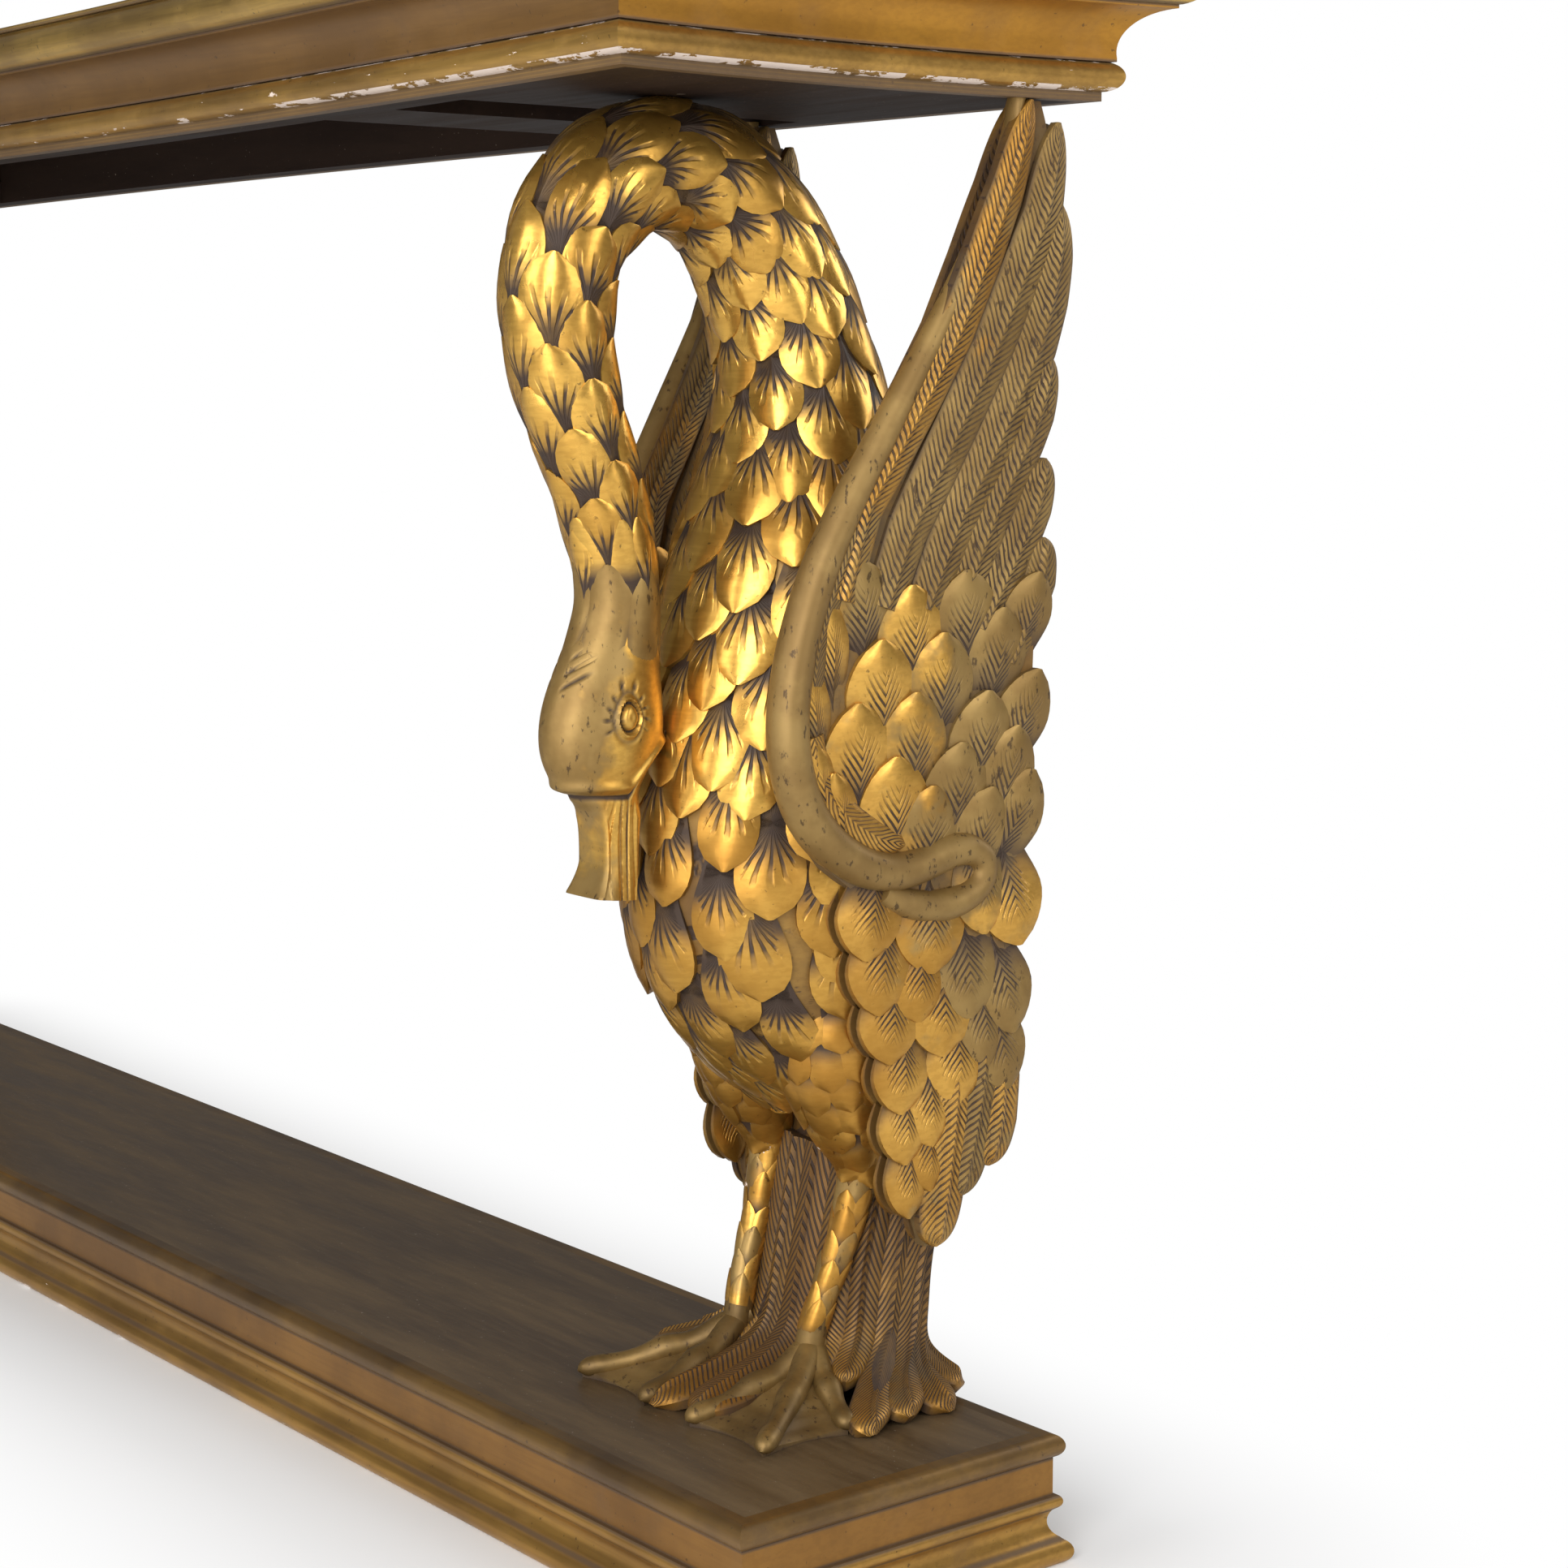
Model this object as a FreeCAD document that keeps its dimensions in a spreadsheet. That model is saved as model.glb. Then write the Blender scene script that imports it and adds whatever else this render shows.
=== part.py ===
import FreeCAD, Part
import math
import os
import sys

import Sketcher

# Marble-top console table: two carved swans stand on a moulded plinth and carry a
# waisted frieze with a marble slab laid inside its rim.
# Frame: origin at the bottom centre, X along the length, the front faces -Y, +Z up.

V = FreeCAD.Vector
doc = FreeCAD.newDocument("ConsoleTable")
sheet = doc.addObject("Spreadsheet::Sheet", "sizes")

# Driving dimensions in millimetres
SIZES = [
    ("base_length", 1733, "plinth length over the nosing"),
    ("base_depth", 232, "plinth depth over the nosing"),
    ("foot_height", 39, "moulding that stands on the floor"),
    ("foot_reach", 4, "foot moulding past the nosing"),
    ("foot_bead", 7, "narrow bead on top of the foot moulding, height"),
    ("foot_torus", 13, "round at the floor, height"),
    ("foot_thick", 24, "foot moulding behind its furthest edge"),
    ("fascia_height", 22, "flat band between foot moulding and nosing"),
    ("fascia_setback", 5, "fascia behind the nosing's edge"),
    ("fascia_thick", 20, "fascia boards"),
    ("nosing_height", 14, "half-round strip round the plinth board"),
    ("nosing_width", 14, "nosing across, from edge to board"),
    ("batten_width", 40, "battens under the plinth board, across"),
    ("batten_gap", 1, "battens clear of the glue blocks"),
    ("top_length", 1680, "frieze from corner to corner at the cove's foot"),
    ("top_depth", 334, "frieze depth at its corners"),
    ("side_bow", 35, "how far front and back draw in at the middle"),
    ("end_bow", 14, "how far the ends draw in at the middle"),
    ("band_height", 5, "brown fillet under the lower bead"),
    ("band_setback", 5, "that fillet behind the cove's foot"),
    ("bead_height", 16, "half-round bead of the frieze"),
    ("bead_reach", 3, "bead past the cove's foot"),
    ("cove_height", 30, "hollow of the frieze"),
    ("cove_reach", 20, "top of the cove past its foot"),
    ("cove_flat", 2, "flats at the foot and the top of the cove"),
    ("rim_height", 26, "rim round the marble"),
    ("rim_reach", 29, "rim past the cove's foot"),
    ("rim_flat", 3, "flat on top of the rim and quirk under it"),
    ("rim_land", 10, "top of the rim beside the marble, across"),
    ("strip_thick", 14, "bead and cove strips behind the cove's foot"),
    ("apron_thick", 20, "curved rails behind the strips"),
    ("marble_thick", 20, "marble slab"),
    ("marble_gap", 1, "slab clear of the rim"),
    ("board_thick", 18, "cross rails and swan boards"),
    ("cross_inset", 335, "cross rails' middle from the frieze's corner"),
    ("cross_width", 85, "cross rails across"),
    ("swan_board_length", 215, "board over each swan, from the corner inwards"),
    ("block_size", 30, "glue blocks in the corners"),
    ("screw_head", 9, "screw heads across"),
    ("screw_shank", 5, "screw shanks across"),
    ("screw_place", 22, "screws either side of the swan's centre plane"),
    ("swan_inset", 137, "swan's centre plane from the frieze's corner"),
    ("swan_height", 738, "plinth board to the underside of the frieze"),
    ("swan_depth", 220, "body from breast to back"),
    ("swan_width", 168, "body across"),
    ("neck_width", 72, "neck across at the top of its arch"),
    ("head_width", 52, "head across"),
    ("leg_width", 24, "leg across below the thigh"),
    ("leg_spread", 39, "leg from the swan's centre plane"),
    ("wing_spread", 85, "wing's middle plane from the swan's centre plane"),
    ("wing_thick", 15, "wing blade"),
    ("roll_width", 22, "rolled leading edge of the wing"),
    ("foot_span", 93, "webbed foot, ankle to the tip of its middle toe"),
    ("tail_width", 176, "tail where it spreads on the plinth"),
    ("tail_depth", 156, "tail there, front to back"),
]
ALIASES = {alias for alias, _, _ in SIZES}

for row, (alias, value, note) in enumerate(SIZES, start=1):
    sheet.set("A%d" % row, note)
    sheet.set("B%d" % row, str(value))
    sheet.setAlias("B%d" % row, alias)
doc.recompute()


def bind(expression):
    """Write the sheet's name before each alias in an expression."""
    out = []
    word = ""
    for letter in str(expression) + " ":
        if letter.isalnum() or letter == "_":
            word += letter
            continue
        out.append("sizes." + word if word in ALIASES else word)
        out.append(letter)
        word = ""
    return "".join(out).strip()


def num(expression):
    """Value of an expression in the sheet's aliases."""
    return float(sheet.evalExpression(bind(expression)))


# Heights and outlines that several pieces share, as expressions
BASE_TOP = "(foot_height + fascia_height + nosing_height)"
FRIEZE_FOOT = "(%s + swan_height)" % BASE_TOP
COVE_FOOT = "(%s + band_height + bead_height)" % FRIEZE_FOOT
RIM_FOOT = "(%s + cove_height)" % COVE_FOOT
TABLE_TOP = "(%s + rim_height)" % RIM_FOOT
MARBLE_FOOT = "(%s - marble_thick)" % TABLE_TOP
HALF_LENGTH = "(top_length / 2)"
HALF_DEPTH = "(top_depth / 2)"
SIDE_RADIUS = "((%s ^ 2 + side_bow ^ 2) / (2 * side_bow))" % HALF_LENGTH
END_RADIUS = "((%s ^ 2 + end_bow ^ 2) / (2 * end_bow))" % HALF_DEPTH
SWAN_PLACE = "(%s - swan_inset)" % HALF_LENGTH
CROSS_PLACE = "(%s - cross_inset)" % HALF_LENGTH
# a full half round would leave its arc without a centre on the right side
HALF_ROUND_share = 0.9


def outline(name, points, upright=False):
    """Closed sketch through points (a, b, bulge share), in XY or upright in YZ.

    A side with a bulge share is an arc that rises by that share of half its chord,
    to the right of the way round.
    """
    sketch = doc.addObject("Sketcher::SketchObject", name)
    if upright:
        sketch.Placement = FreeCAD.Placement(V(), FreeCAD.Rotation(V(0, 1, 0), V(0, 0, 1), V(1, 0, 0)))
    corners = [V(num(a), num(b), 0) for a, b, _ in points]
    ends = []
    for i, (_, _, bulge_share) in enumerate(points):
        start = corners[i]
        end = corners[(i + 1) % len(points)]
        side = Part.LineSegment(start, end)
        if bulge_share:
            chord = end - start
            rise = V(chord.y, -chord.x, 0) * (bulge_share / 2)
            side = Part.Arc(start, (start + end) * 0.5 + rise, end)
        index = sketch.addGeometry(side, False)
        first = 1 if sketch.getPoint(index, 1).distanceToPoint(start) < start.distanceToPoint(end) / 2 else 2
        ends.append((first, 3 - first))
    for i, (a, b, bulge_share) in enumerate(points):
        following = (i + 1) % len(points)
        sketch.addConstraint(Sketcher.Constraint("Coincident", i, ends[i][1], following, ends[following][0]))
        for kind, expression, place in (("DistanceX", a, corners[i].x), ("DistanceY", b, corners[i].y)):
            index = sketch.addConstraint(Sketcher.Constraint(kind, -1, 1, i, ends[i][0], place))
            sketch.setExpression("Constraints[%d]" % index, bind(expression))
        if bulge_share:
            next_a, next_b, _ = points[following]
            chord = "sqrt((%s - (%s)) ^ 2 + (%s - (%s)) ^ 2)" % (next_a, a, next_b, b)
            radius_share = (1 + bulge_share ** 2) / (4 * abs(bulge_share))
            index = sketch.addConstraint(Sketcher.Constraint("Radius", i, sketch.Geometry[i].Radius))
            sketch.setExpression("Constraints[%d]" % index, bind("%s * %.9f" % (chord, radius_share)))
    return sketch


def extrude(name, sketch, length, along=V(0, 0, 1), both=False):
    """Extrude a sketch by a bound length, half each way when both is set."""
    solid = doc.addObject("Part::Extrusion", name)
    solid.Base = sketch
    solid.DirMode = "Custom"
    solid.Dir = along
    solid.Solid = True
    solid.Symmetric = both
    solid.setExpression("LengthFwd", bind(length))
    return solid


def box(name, length, depth, height, x, y, z):
    """Box centred on x and y, standing on z."""
    solid = doc.addObject("Part::Box", name)
    for prop, expression in (("Length", length), ("Width", depth), ("Height", height)):
        solid.setExpression(prop, bind(expression))
    solid.setExpression("Placement.Base.x", bind("%s - (%s) / 2" % (x, length)))
    solid.setExpression("Placement.Base.y", bind("%s - (%s) / 2" % (y, depth)))
    solid.setExpression("Placement.Base.z", bind(z))
    return solid


def boolean(kind, name, base, tool):
    """Cut, fuse or intersect two objects."""
    result = doc.addObject("Part::" + kind, name)
    result.Base = base
    result.Tool = tool
    return result


def mirror(name, source, normal):
    """Mirror image of an object through the origin."""
    image = doc.addObject("Part::Mirroring", name)
    image.Source = source
    image.Normal = normal
    return image


def mitre_prism(name, half_long, half_deep, reach, slope, at_end):
    """Tall prism between the two mitre cuts of a front or an end piece."""
    out_x = "(%s + %s)" % (half_long, reach)
    in_x = "(%s - %s)" % (half_long, reach)
    out_y = "(%s + %s * %s)" % (half_deep, reach, slope)
    in_y = "(%s - %s * %s)" % (half_deep, reach, slope)
    corners = [("-" + out_x, "-" + out_y), (out_x, "-" + out_y), (in_x, "-" + in_y), ("-" + in_x, "-" + in_y)]
    if at_end:
        corners = [(out_x, "-" + out_y), (out_x, out_y), (in_x, in_y), (in_x, "-" + in_y)]
    plan = outline(name + "_plan", [(x, y, 0) for x, y in corners])
    return extrude(name + "_prism", plan, "2 * " + TABLE_TOP)


# runs that a long bowed strip is turned in, end to end
BOW_RUNS = 12


def bowed_strip(name, profile, centre, turn, count):
    """Profile turned about its bow's centre in a count of equal runs, end to end."""
    runs = []
    for i in range(count):
        run = doc.addObject("Part::Revolution", name + "_run")
        run.Source = profile
        run.Axis = V(0, 0, 1)
        run.setExpression("Base.y", bind("-" + centre))
        run.setExpression("Angle", bind("%s / %d" % (turn, count)))
        run.Symmetric = True
        run.Solid = True
        if count > 1:
            off_share = (i + 0.5) / count - 0.5
            swing = "(%s * %.9f)" % (turn, off_share)
            run.Placement.Rotation.Axis = V(0, 0, 1)
            run.setExpression("Placement.Rotation.Angle", bind(swing))
            run.setExpression("Placement.Base.x", bind("-%s * sin(%s)" % (centre, swing)))
            run.setExpression("Placement.Base.y", bind("%s * cos(%s) - %s" % (centre, swing, centre)))
        runs.append(run)
    if count == 1:
        return runs[0]
    strip = doc.addObject("Part::MultiFuse", name + "_strip")
    strip.Shapes = runs
    return strip


def frame_ring(name, profile, half_long, half_deep, reach, slope, bows=None):
    """Four mitred strips round a frame: front, back, left and right.

    The profile gives (how far out, height, bulge share). With bows, the pair of
    radii of the sides and the ends, each strip is turned about its bow's centre.
    """
    strips = {}
    for side, half, across in (("front", half_deep, half_long), ("right", half_long, half_deep)):
        at_end = side == "right"
        facing = [("-(%s + %s)" % (half, out), height, -bulge) for out, height, bulge in profile]
        if bows:
            radius, bow = (bows[1], "end_bow") if at_end else (bows[0], "side_bow")
            behind = "%s - %s" % (half, bow)
            facing = [("-(%s + %s)" % (behind, out), height, -bulge) for out, height, bulge in profile]
            facing_sketch = outline("%s_%s_profile" % (name, side), facing, upright=True)
            centre = "(%s - %s + %s)" % (half, bow, radius)
            turn = "2 * asin((%s + %s) / (%s - rim_reach))" % (across, reach, radius)
            count = 1 if at_end else BOW_RUNS
            strip = bowed_strip("%s_%s" % (name, side), facing_sketch, centre, turn, count)
        else:
            facing_sketch = outline("%s_%s_profile" % (name, side), facing, upright=True)
            run = "2 * (%s + %s)" % (across, reach)
            strip = extrude("%s_%s_strip" % (name, side), facing_sketch, run, V(1, 0, 0), True)
        if at_end:
            strip.Placement = FreeCAD.Placement(V(), FreeCAD.Rotation(V(0, 0, 1), 90))
        prism = mitre_prism("%s_%s" % (name, side), half_long, half_deep, reach, slope, at_end)
        strips[side] = boolean("Common", "%s_%s" % (name, side), strip, prism)
    strips["back"] = mirror("%s_back" % name, strips["front"], V(0, 1, 0))
    strips["left"] = mirror("%s_left" % name, strips["right"], V(1, 0, 0))
    return [strips[side] for side in ("front", "back", "left", "right")]


pieces = []


def plinth():
    """Moulded plinth: board, nosing, fascia, foot moulding and what stiffens them."""
    half_long = "(base_length / 2)"
    half_deep = "(base_depth / 2)"
    fascia_top = "(foot_height + fascia_height)"
    round_back = "0 - nosing_height / 2 * %s" % HALF_ROUND_share
    nosing = [
        ("0 - nosing_width", fascia_top, 0),
        (round_back, fascia_top, HALF_ROUND_share),
        (round_back, BASE_TOP, 0),
        ("0 - nosing_width", BASE_TOP, 0),
    ]
    fascia = [
        ("0 - fascia_setback - fascia_thick", "foot_height", 0),
        ("0 - fascia_setback", "foot_height", 0),
        ("0 - fascia_setback", fascia_top, 0),
        ("0 - fascia_setback - fascia_thick", fascia_top, 0),
    ]
    bead_foot = "(foot_height - foot_bead)"
    foot = [
        ("foot_reach - foot_thick", "0", 0),
        ("0", "0", 0.6),
        ("0", "foot_torus", 0),
        ("0 - foot_reach / 2", "foot_torus + foot_bead / 4", -0.45),
        ("0 - fascia_setback", "%s - foot_bead / 4" % bead_foot, 0),
        ("0 - fascia_setback / 2", bead_foot, 0.5),
        ("0 - fascia_setback / 2", "foot_height", 0),
        ("foot_reach - foot_thick", "foot_height", 0),
    ]
    pieces.extend(frame_ring("nosing", nosing, half_long, half_deep, "base_depth / 4", "1"))
    pieces.extend(frame_ring("fascia", fascia, half_long, half_deep, "base_depth / 4", "1"))
    pieces.extend(frame_ring("foot_moulding", foot, half_long, half_deep, "base_depth / 4", "1"))
    board_long = "base_length - 2 * nosing_width"
    board_deep = "base_depth - 2 * nosing_width"
    pieces.append(box("plinth_board", board_long, board_deep, "nosing_height", "0", "0", fascia_top))
    inner_long = "(base_length / 2 - fascia_setback - fascia_thick)"
    inner_deep = "(base_depth / 2 - fascia_setback - fascia_thick)"
    batten_place = "(%s - block_size - batten_gap - batten_width / 2)" % inner_deep
    for name, sign in (("front_batten", "-"), ("back_batten", "")):
        sizes = ("2 * " + inner_long, "batten_width", "fascia_height")
        pieces.append(box(name, *sizes, "0", sign + batten_place, "foot_height"))
    pieces.append(corner_blocks("plinth_glue", inner_long, inner_deep, "fascia_height", "foot_height"))


def frieze():
    """Waisted frieze: bead, cove and rim strips on curved aprons."""
    half_turns = (HALF_DEPTH, END_RADIUS, HALF_LENGTH, SIDE_RADIUS)
    slope = "tan(45 deg - (asin(%s / %s) - asin(%s / %s)) / 2)" % half_turns
    bows = (SIDE_RADIUS, END_RADIUS)
    reach = "(side_bow + strip_thick + apron_thick + rim_reach)"
    band_top = "(%s + band_height)" % FRIEZE_FOOT
    bead = [
        ("0 - strip_thick", FRIEZE_FOOT, 0),
        ("0 - band_setback", FRIEZE_FOOT, 0),
        ("0 - band_setback", band_top, 0.875),
        ("0 - bead_reach", COVE_FOOT, 0),
        ("0 - strip_thick", COVE_FOOT, 0),
    ]
    cove = [
        ("0 - strip_thick", COVE_FOOT, 0),
        ("0", COVE_FOOT, 0),
        ("0", "%s + cove_flat" % COVE_FOOT, -0.42),
        ("cove_reach", "%s - cove_flat" % RIM_FOOT, 0),
        ("cove_reach", RIM_FOOT, 0),
        ("0 - strip_thick", RIM_FOOT, 0),
    ]
    rim = [
        ("rim_reach - rim_land - rim_flat", RIM_FOOT, 0),
        ("cove_reach + rim_flat / 3", RIM_FOOT, 0.6),
        ("rim_reach - rim_flat", "%s - rim_flat" % TABLE_TOP, 0),
        ("rim_reach", "%s - rim_flat" % TABLE_TOP, 0),
        ("rim_reach", TABLE_TOP, 0),
        ("rim_reach - rim_land", TABLE_TOP, 0),
        ("rim_reach - rim_land", MARBLE_FOOT, 0),
        ("rim_reach - rim_land - rim_flat", MARBLE_FOOT, 0),
    ]
    apron = [
        ("0 - strip_thick - apron_thick", FRIEZE_FOOT, 0),
        ("0 - strip_thick", FRIEZE_FOOT, 0),
        ("0 - strip_thick", MARBLE_FOOT, 0),
        ("0 - strip_thick - apron_thick", MARBLE_FOOT, 0),
    ]
    for name, profile in (("frieze_bead", bead), ("frieze_cove", cove), ("rim", rim), ("apron", apron)):
        pieces.extend(frame_ring(name, profile, HALF_LENGTH, HALF_DEPTH, reach, slope, bows))


def between_bows(name, inset, thick, foot):
    """Slab that fills the frieze's plan, drawn in from its four bows by an inset."""
    long, deep = ("(%s - 2 * %s)" % (whole, inset) for whole in ("top_length", "top_depth"))
    blank = box(name + "_blank", long, deep, thick, "0", "0", foot)
    scoops = doc.addObject("Part::MultiFuse", name + "_scoops")
    drums = []
    sides = ("y", HALF_DEPTH, "side_bow", SIDE_RADIUS)
    ends = ("x", HALF_LENGTH, "end_bow", END_RADIUS)
    for axis, half, bow, radius in (sides, ends):
        for sign in ("-", ""):
            drum = doc.addObject("Part::Cylinder", name + "_drum")
            drum.setExpression("Radius", bind("%s + %s" % (radius, inset)))
            drum.setExpression("Height", bind(thick))
            drum.setExpression("Placement.Base." + axis, bind("%s(%s - %s + %s)" % (sign, half, bow, radius)))
            drum.setExpression("Placement.Base.z", bind(foot))
            drums.append(drum)
    scoops.Shapes = drums
    return boolean("Cut", name, blank, scoops)


def underframe():
    """Cross rails, swan boards, glue blocks and marble inside the frieze."""
    wall = "(strip_thick + apron_thick)"
    board_top = "(%s + board_thick)" % FRIEZE_FOOT
    well = between_bows("well", wall, "board_thick", FRIEZE_FOOT)
    for side, sign in (("left", "-"), ("right", "")):
        name = side + "_cross_rail"
        sizes = ("cross_width", "top_depth", "board_thick")
        rail = box(name + "_blank", *sizes, sign + CROSS_PLACE, "0", FRIEZE_FOOT)
        pieces.append(boolean("Common", name, rail, well))
        name = side + "_swan_board"
        place = "%s(%s - swan_board_length / 2)" % (sign, HALF_LENGTH)
        blank = box(name + "_blank", "swan_board_length", "top_depth", "board_thick", place, "0", FRIEZE_FOOT)
        screws = screw_pair(name, sign)
        pieces.append(boolean("Cut", name, boolean("Common", name + "_panel", blank, well), screws))
        pieces.append(screws)
    block_high = "(%s - %s)" % (MARBLE_FOOT, board_top)
    corner_well = between_bows("corner_well", wall, block_high, board_top)
    inner_long, inner_deep = (half + " - " + wall for half in (HALF_LENGTH, HALF_DEPTH))
    blocks = corner_blocks("top_corner", inner_long, inner_deep, block_high, board_top)
    pieces.append(boolean("Common", "top_glue_blocks", blocks, corner_well))
    past_foot = "-(rim_reach - rim_land - marble_gap)"
    pieces.append(between_bows("marble_top", past_foot, "marble_thick", MARBLE_FOOT))


def corner_blocks(name, inner_long, inner_deep, high, foot):
    """Four square glue blocks in the corners of a frame."""
    blocks = []
    for sign_x in ("-", ""):
        for sign_y in ("-", ""):
            x = "%s(%s - block_size / 2)" % (sign_x, inner_long)
            y = "%s(%s - block_size / 2)" % (sign_y, inner_deep)
            blocks.append(box(name + "_block", "block_size", "block_size", high, x, y, foot))
    group = doc.addObject("Part::Compound", name + "_blocks")
    group.Links = blocks
    return group


def screw_pair(name, sign):
    """Two countersunk screws down through a swan board into the neck."""
    shanks = []
    for side in ("-", "+"):
        x = "%s%s %s screw_place" % (sign, SWAN_PLACE, side)
        shank = doc.addObject("Part::Cylinder", name + "_shank")
        shank.setExpression("Radius", bind("screw_shank / 2"))
        shank.setExpression("Height", bind("board_thick"))
        head = doc.addObject("Part::Cone", name + "_head")
        head.setExpression("Radius1", bind("screw_shank / 2"))
        head.setExpression("Radius2", bind("screw_head / 2"))
        head.setExpression("Height", bind("screw_shank / 2"))
        for solid, z in ((shank, FRIEZE_FOOT), (head, "%s + board_thick - screw_shank / 2" % FRIEZE_FOOT)):
            solid.setExpression("Placement.Base.x", bind(x))
            solid.setExpression("Placement.Base.y", bind("swan_depth * %s" % NECK_TOP_share))
            solid.setExpression("Placement.Base.z", bind(z))
        shanks.append(boolean("Fuse", name + "_screw", shank, head))
    return boolean("Fuse", name + "_screws", shanks[0], shanks[1])


# The swans: stations chosen by hand, as shares of the swan's own sizes
NECK_TOP_share = -0.2
RING_POINTS = 12
# height, middle, half depth, half width
BODY_shares = [
    (0.764, 0.255, 0.227, 0.286),
    (0.709, 0.264, 0.282, 0.369),
    (0.655, 0.277, 0.373, 0.440),
    (0.547, 0.273, 0.459, 0.488),
    (0.466, 0.255, 0.491, 0.500),
    (0.409, 0.241, 0.491, 0.494),
    (0.353, 0.264, 0.473, 0.476),
    (0.320, 0.291, 0.441, 0.452),
    (0.284, 0.332, 0.380, 0.417),
    (0.253, 0.364, 0.300, 0.350),
    (0.230, 0.386, 0.200, 0.250),
]
# height, place front to back, half thickness
NECK_shares = [
    (0.818, 0.227, 0.597),
    (0.865, 0.173, 0.542),
    (0.916, 0.068, 0.507),
    (0.949, -0.068, 0.500),
    (0.9555, -0.227, 0.486),
    (0.937, -0.377, 0.465),
    (0.896, -0.482, 0.431),
    (0.841, -0.514, 0.396),
    (0.786, -0.477, 0.361),
    (0.741, -0.414, 0.333),
    (0.696, -0.359, 0.3125),
    (0.650, -0.327, 0.2986),
]
# height, middle, half depth as a share of the head's width, half width
HEAD_shares = [
    (0.622, -0.332, 0.48, 0.43),
    (0.581, -0.364, 0.63, 0.48),
    (0.541, -0.382, 0.71, 0.50),
    (0.509, -0.382, 0.65, 0.46),
    (0.491, -0.373, 0.46, 0.37),
    (0.480, -0.373, 0.35, 0.29),
    (0.453, -0.373, 0.29, 0.26),
    (0.428, -0.377, 0.27, 0.28),
    (0.414, -0.386, 0.23, 0.29),
]
# height and place of the eyes, and their half width against the head
EYE_shares = (0.552, -0.377, 0.13)
EYE_OUT_share = 0.39
# height, place front to back, out from the leg's place, half thickness
LEG_shares = [
    (0.284, 0.218, 1.03, 1.42),
    (0.243, 0.245, 1.08, 1.29),
    (0.216, 0.273, 1.10, 0.92),
    (0.193, 0.291, 1.08, 0.58),
    (0.162, 0.273, 1.05, 0.50),
    (0.122, 0.236, 1.00, 0.48),
    (0.081, 0.195, 0.92, 0.44),
    (0.058, 0.173, 0.87, 0.44),
]
# how far the middle toe turns out
TOE_OUT = math.radians(35)
# turn from the middle toe in degrees, and reach of the web there
WEB_shares = [
    (0, 0.94), (21, 0.66), (42, 0.52), (66, 0.26), (105, 0.16), (145, 0.15),
    (180, 0.17), (215, 0.15), (255, 0.18), (288, 0.34), (314, 0.74), (337, 0.68),
]
# height, and how much of the reach the web has there
FOOT_shares = [(0.040, 0.16, 0.9), (0.024, 0.34, 0.6), (0.012, 0.80, 0.25), (0.0, 1.0, 0.0)]
# turn and reach of the three toes
TOE_shares = [(0, 1.0), (42, 0.55), (314, 0.80)]
# along a toe, height and half thickness of its joints, against the foot's span
JOINT_shares = [
    (0.04, 0.30, 0.085), (0.20, 0.235, 0.095), (0.38, 0.155, 0.090), (0.50, 0.125, 0.098), (0.64, 0.115, 0.090),
    (0.78, 0.080, 0.068), (0.90, 0.070, 0.072), (1.0, 0.062, 0.045),
]
# height, middle, half depth, half width, squareness
TAIL_shares = [
    (0.300, 0.72, 0.26, 0.28, 2.0),
    (0.223, 0.72, 0.27, 0.33, 2.0),
    (0.155, 0.64, 0.26, 0.33, 2.0),
    (0.101, 0.57, 0.22, 0.33, 2.0),
    (0.060, 0.56, 0.17, 0.35, 2.1),
    (0.027, 0.56, 0.16, 0.42, 2.3),
    (0.012, 0.56, 0.16, 0.46, 2.4),
    (0.0, 0.56, 0.16, 0.48, 2.5),
]
# wing edge, height and place front to back, up from its foot to the scroll
WING_FOOT_shares = [(0.123, 0.40), (0.203, 0.31), (0.300, 0.23), (0.408, 0.18)]
# and on up the leading edge
WING_LEAD_shares = [
    (0.434, 0.05), (0.468, -0.07),
    (0.549, -0.123), (0.655, -0.06), (0.708, 0.035), (0.762, 0.155), (0.816, 0.26), (0.897, 0.40),
    (1.0, 0.50),
]
# and down the trailing edge, each with how far its feather bulges on the way to the next
WING_TRAIL_shares = [
    (1.0, 0.60, 0.15), (0.943, 0.66, 0.35), (0.838, 0.66, 0.30), (0.733, 0.665, 0.30), (0.672, 0.66, 0.30),
    (0.588, 0.66, 0.35), (0.490, 0.68, 0.30), (0.427, 0.63, 0.30), (0.347, 0.66, 0.30), (0.249, 0.66, 0.30),
    (0.203, 0.63, 0.35), (0.168, 0.50, 0.35),
]
# the rolled edge starts in a scroll under the shoulder
WING_SCROLL_shares = [
    (0.416, 0.182), (0.404, 0.255), (0.397, 0.345), (0.402, 0.441), (0.416, 0.500), (0.435, 0.505),
    (0.446, 0.445), (0.443, 0.375), (0.434, 0.300),
]
# comes back over its own start, then follows the leading edge
WING_RETURN_shares = [(0.429, 0.220), (0.428, 0.135)]
WING_ROLL_shares = [
    0.70, 0.82, 0.90, 0.92, 0.92, 0.92, 0.94, 0.96, 1.0, 1.0, 1.0,
    1.0, 1.0, 0.98, 0.92, 0.88, 0.84, 0.78, 0.70, 0.62,
]
WING_ROOT_share = 0.44
WING_LEAN_share = 0.05
WING_SWEEP_share = 0.08

size = {alias: float(sheet.get(alias)) for alias in ALIASES}
base_top = num(BASE_TOP)


def height(share):
    """Height at a share of the swan, from the plinth board up."""
    return base_top + size["swan_height"] * share


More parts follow.
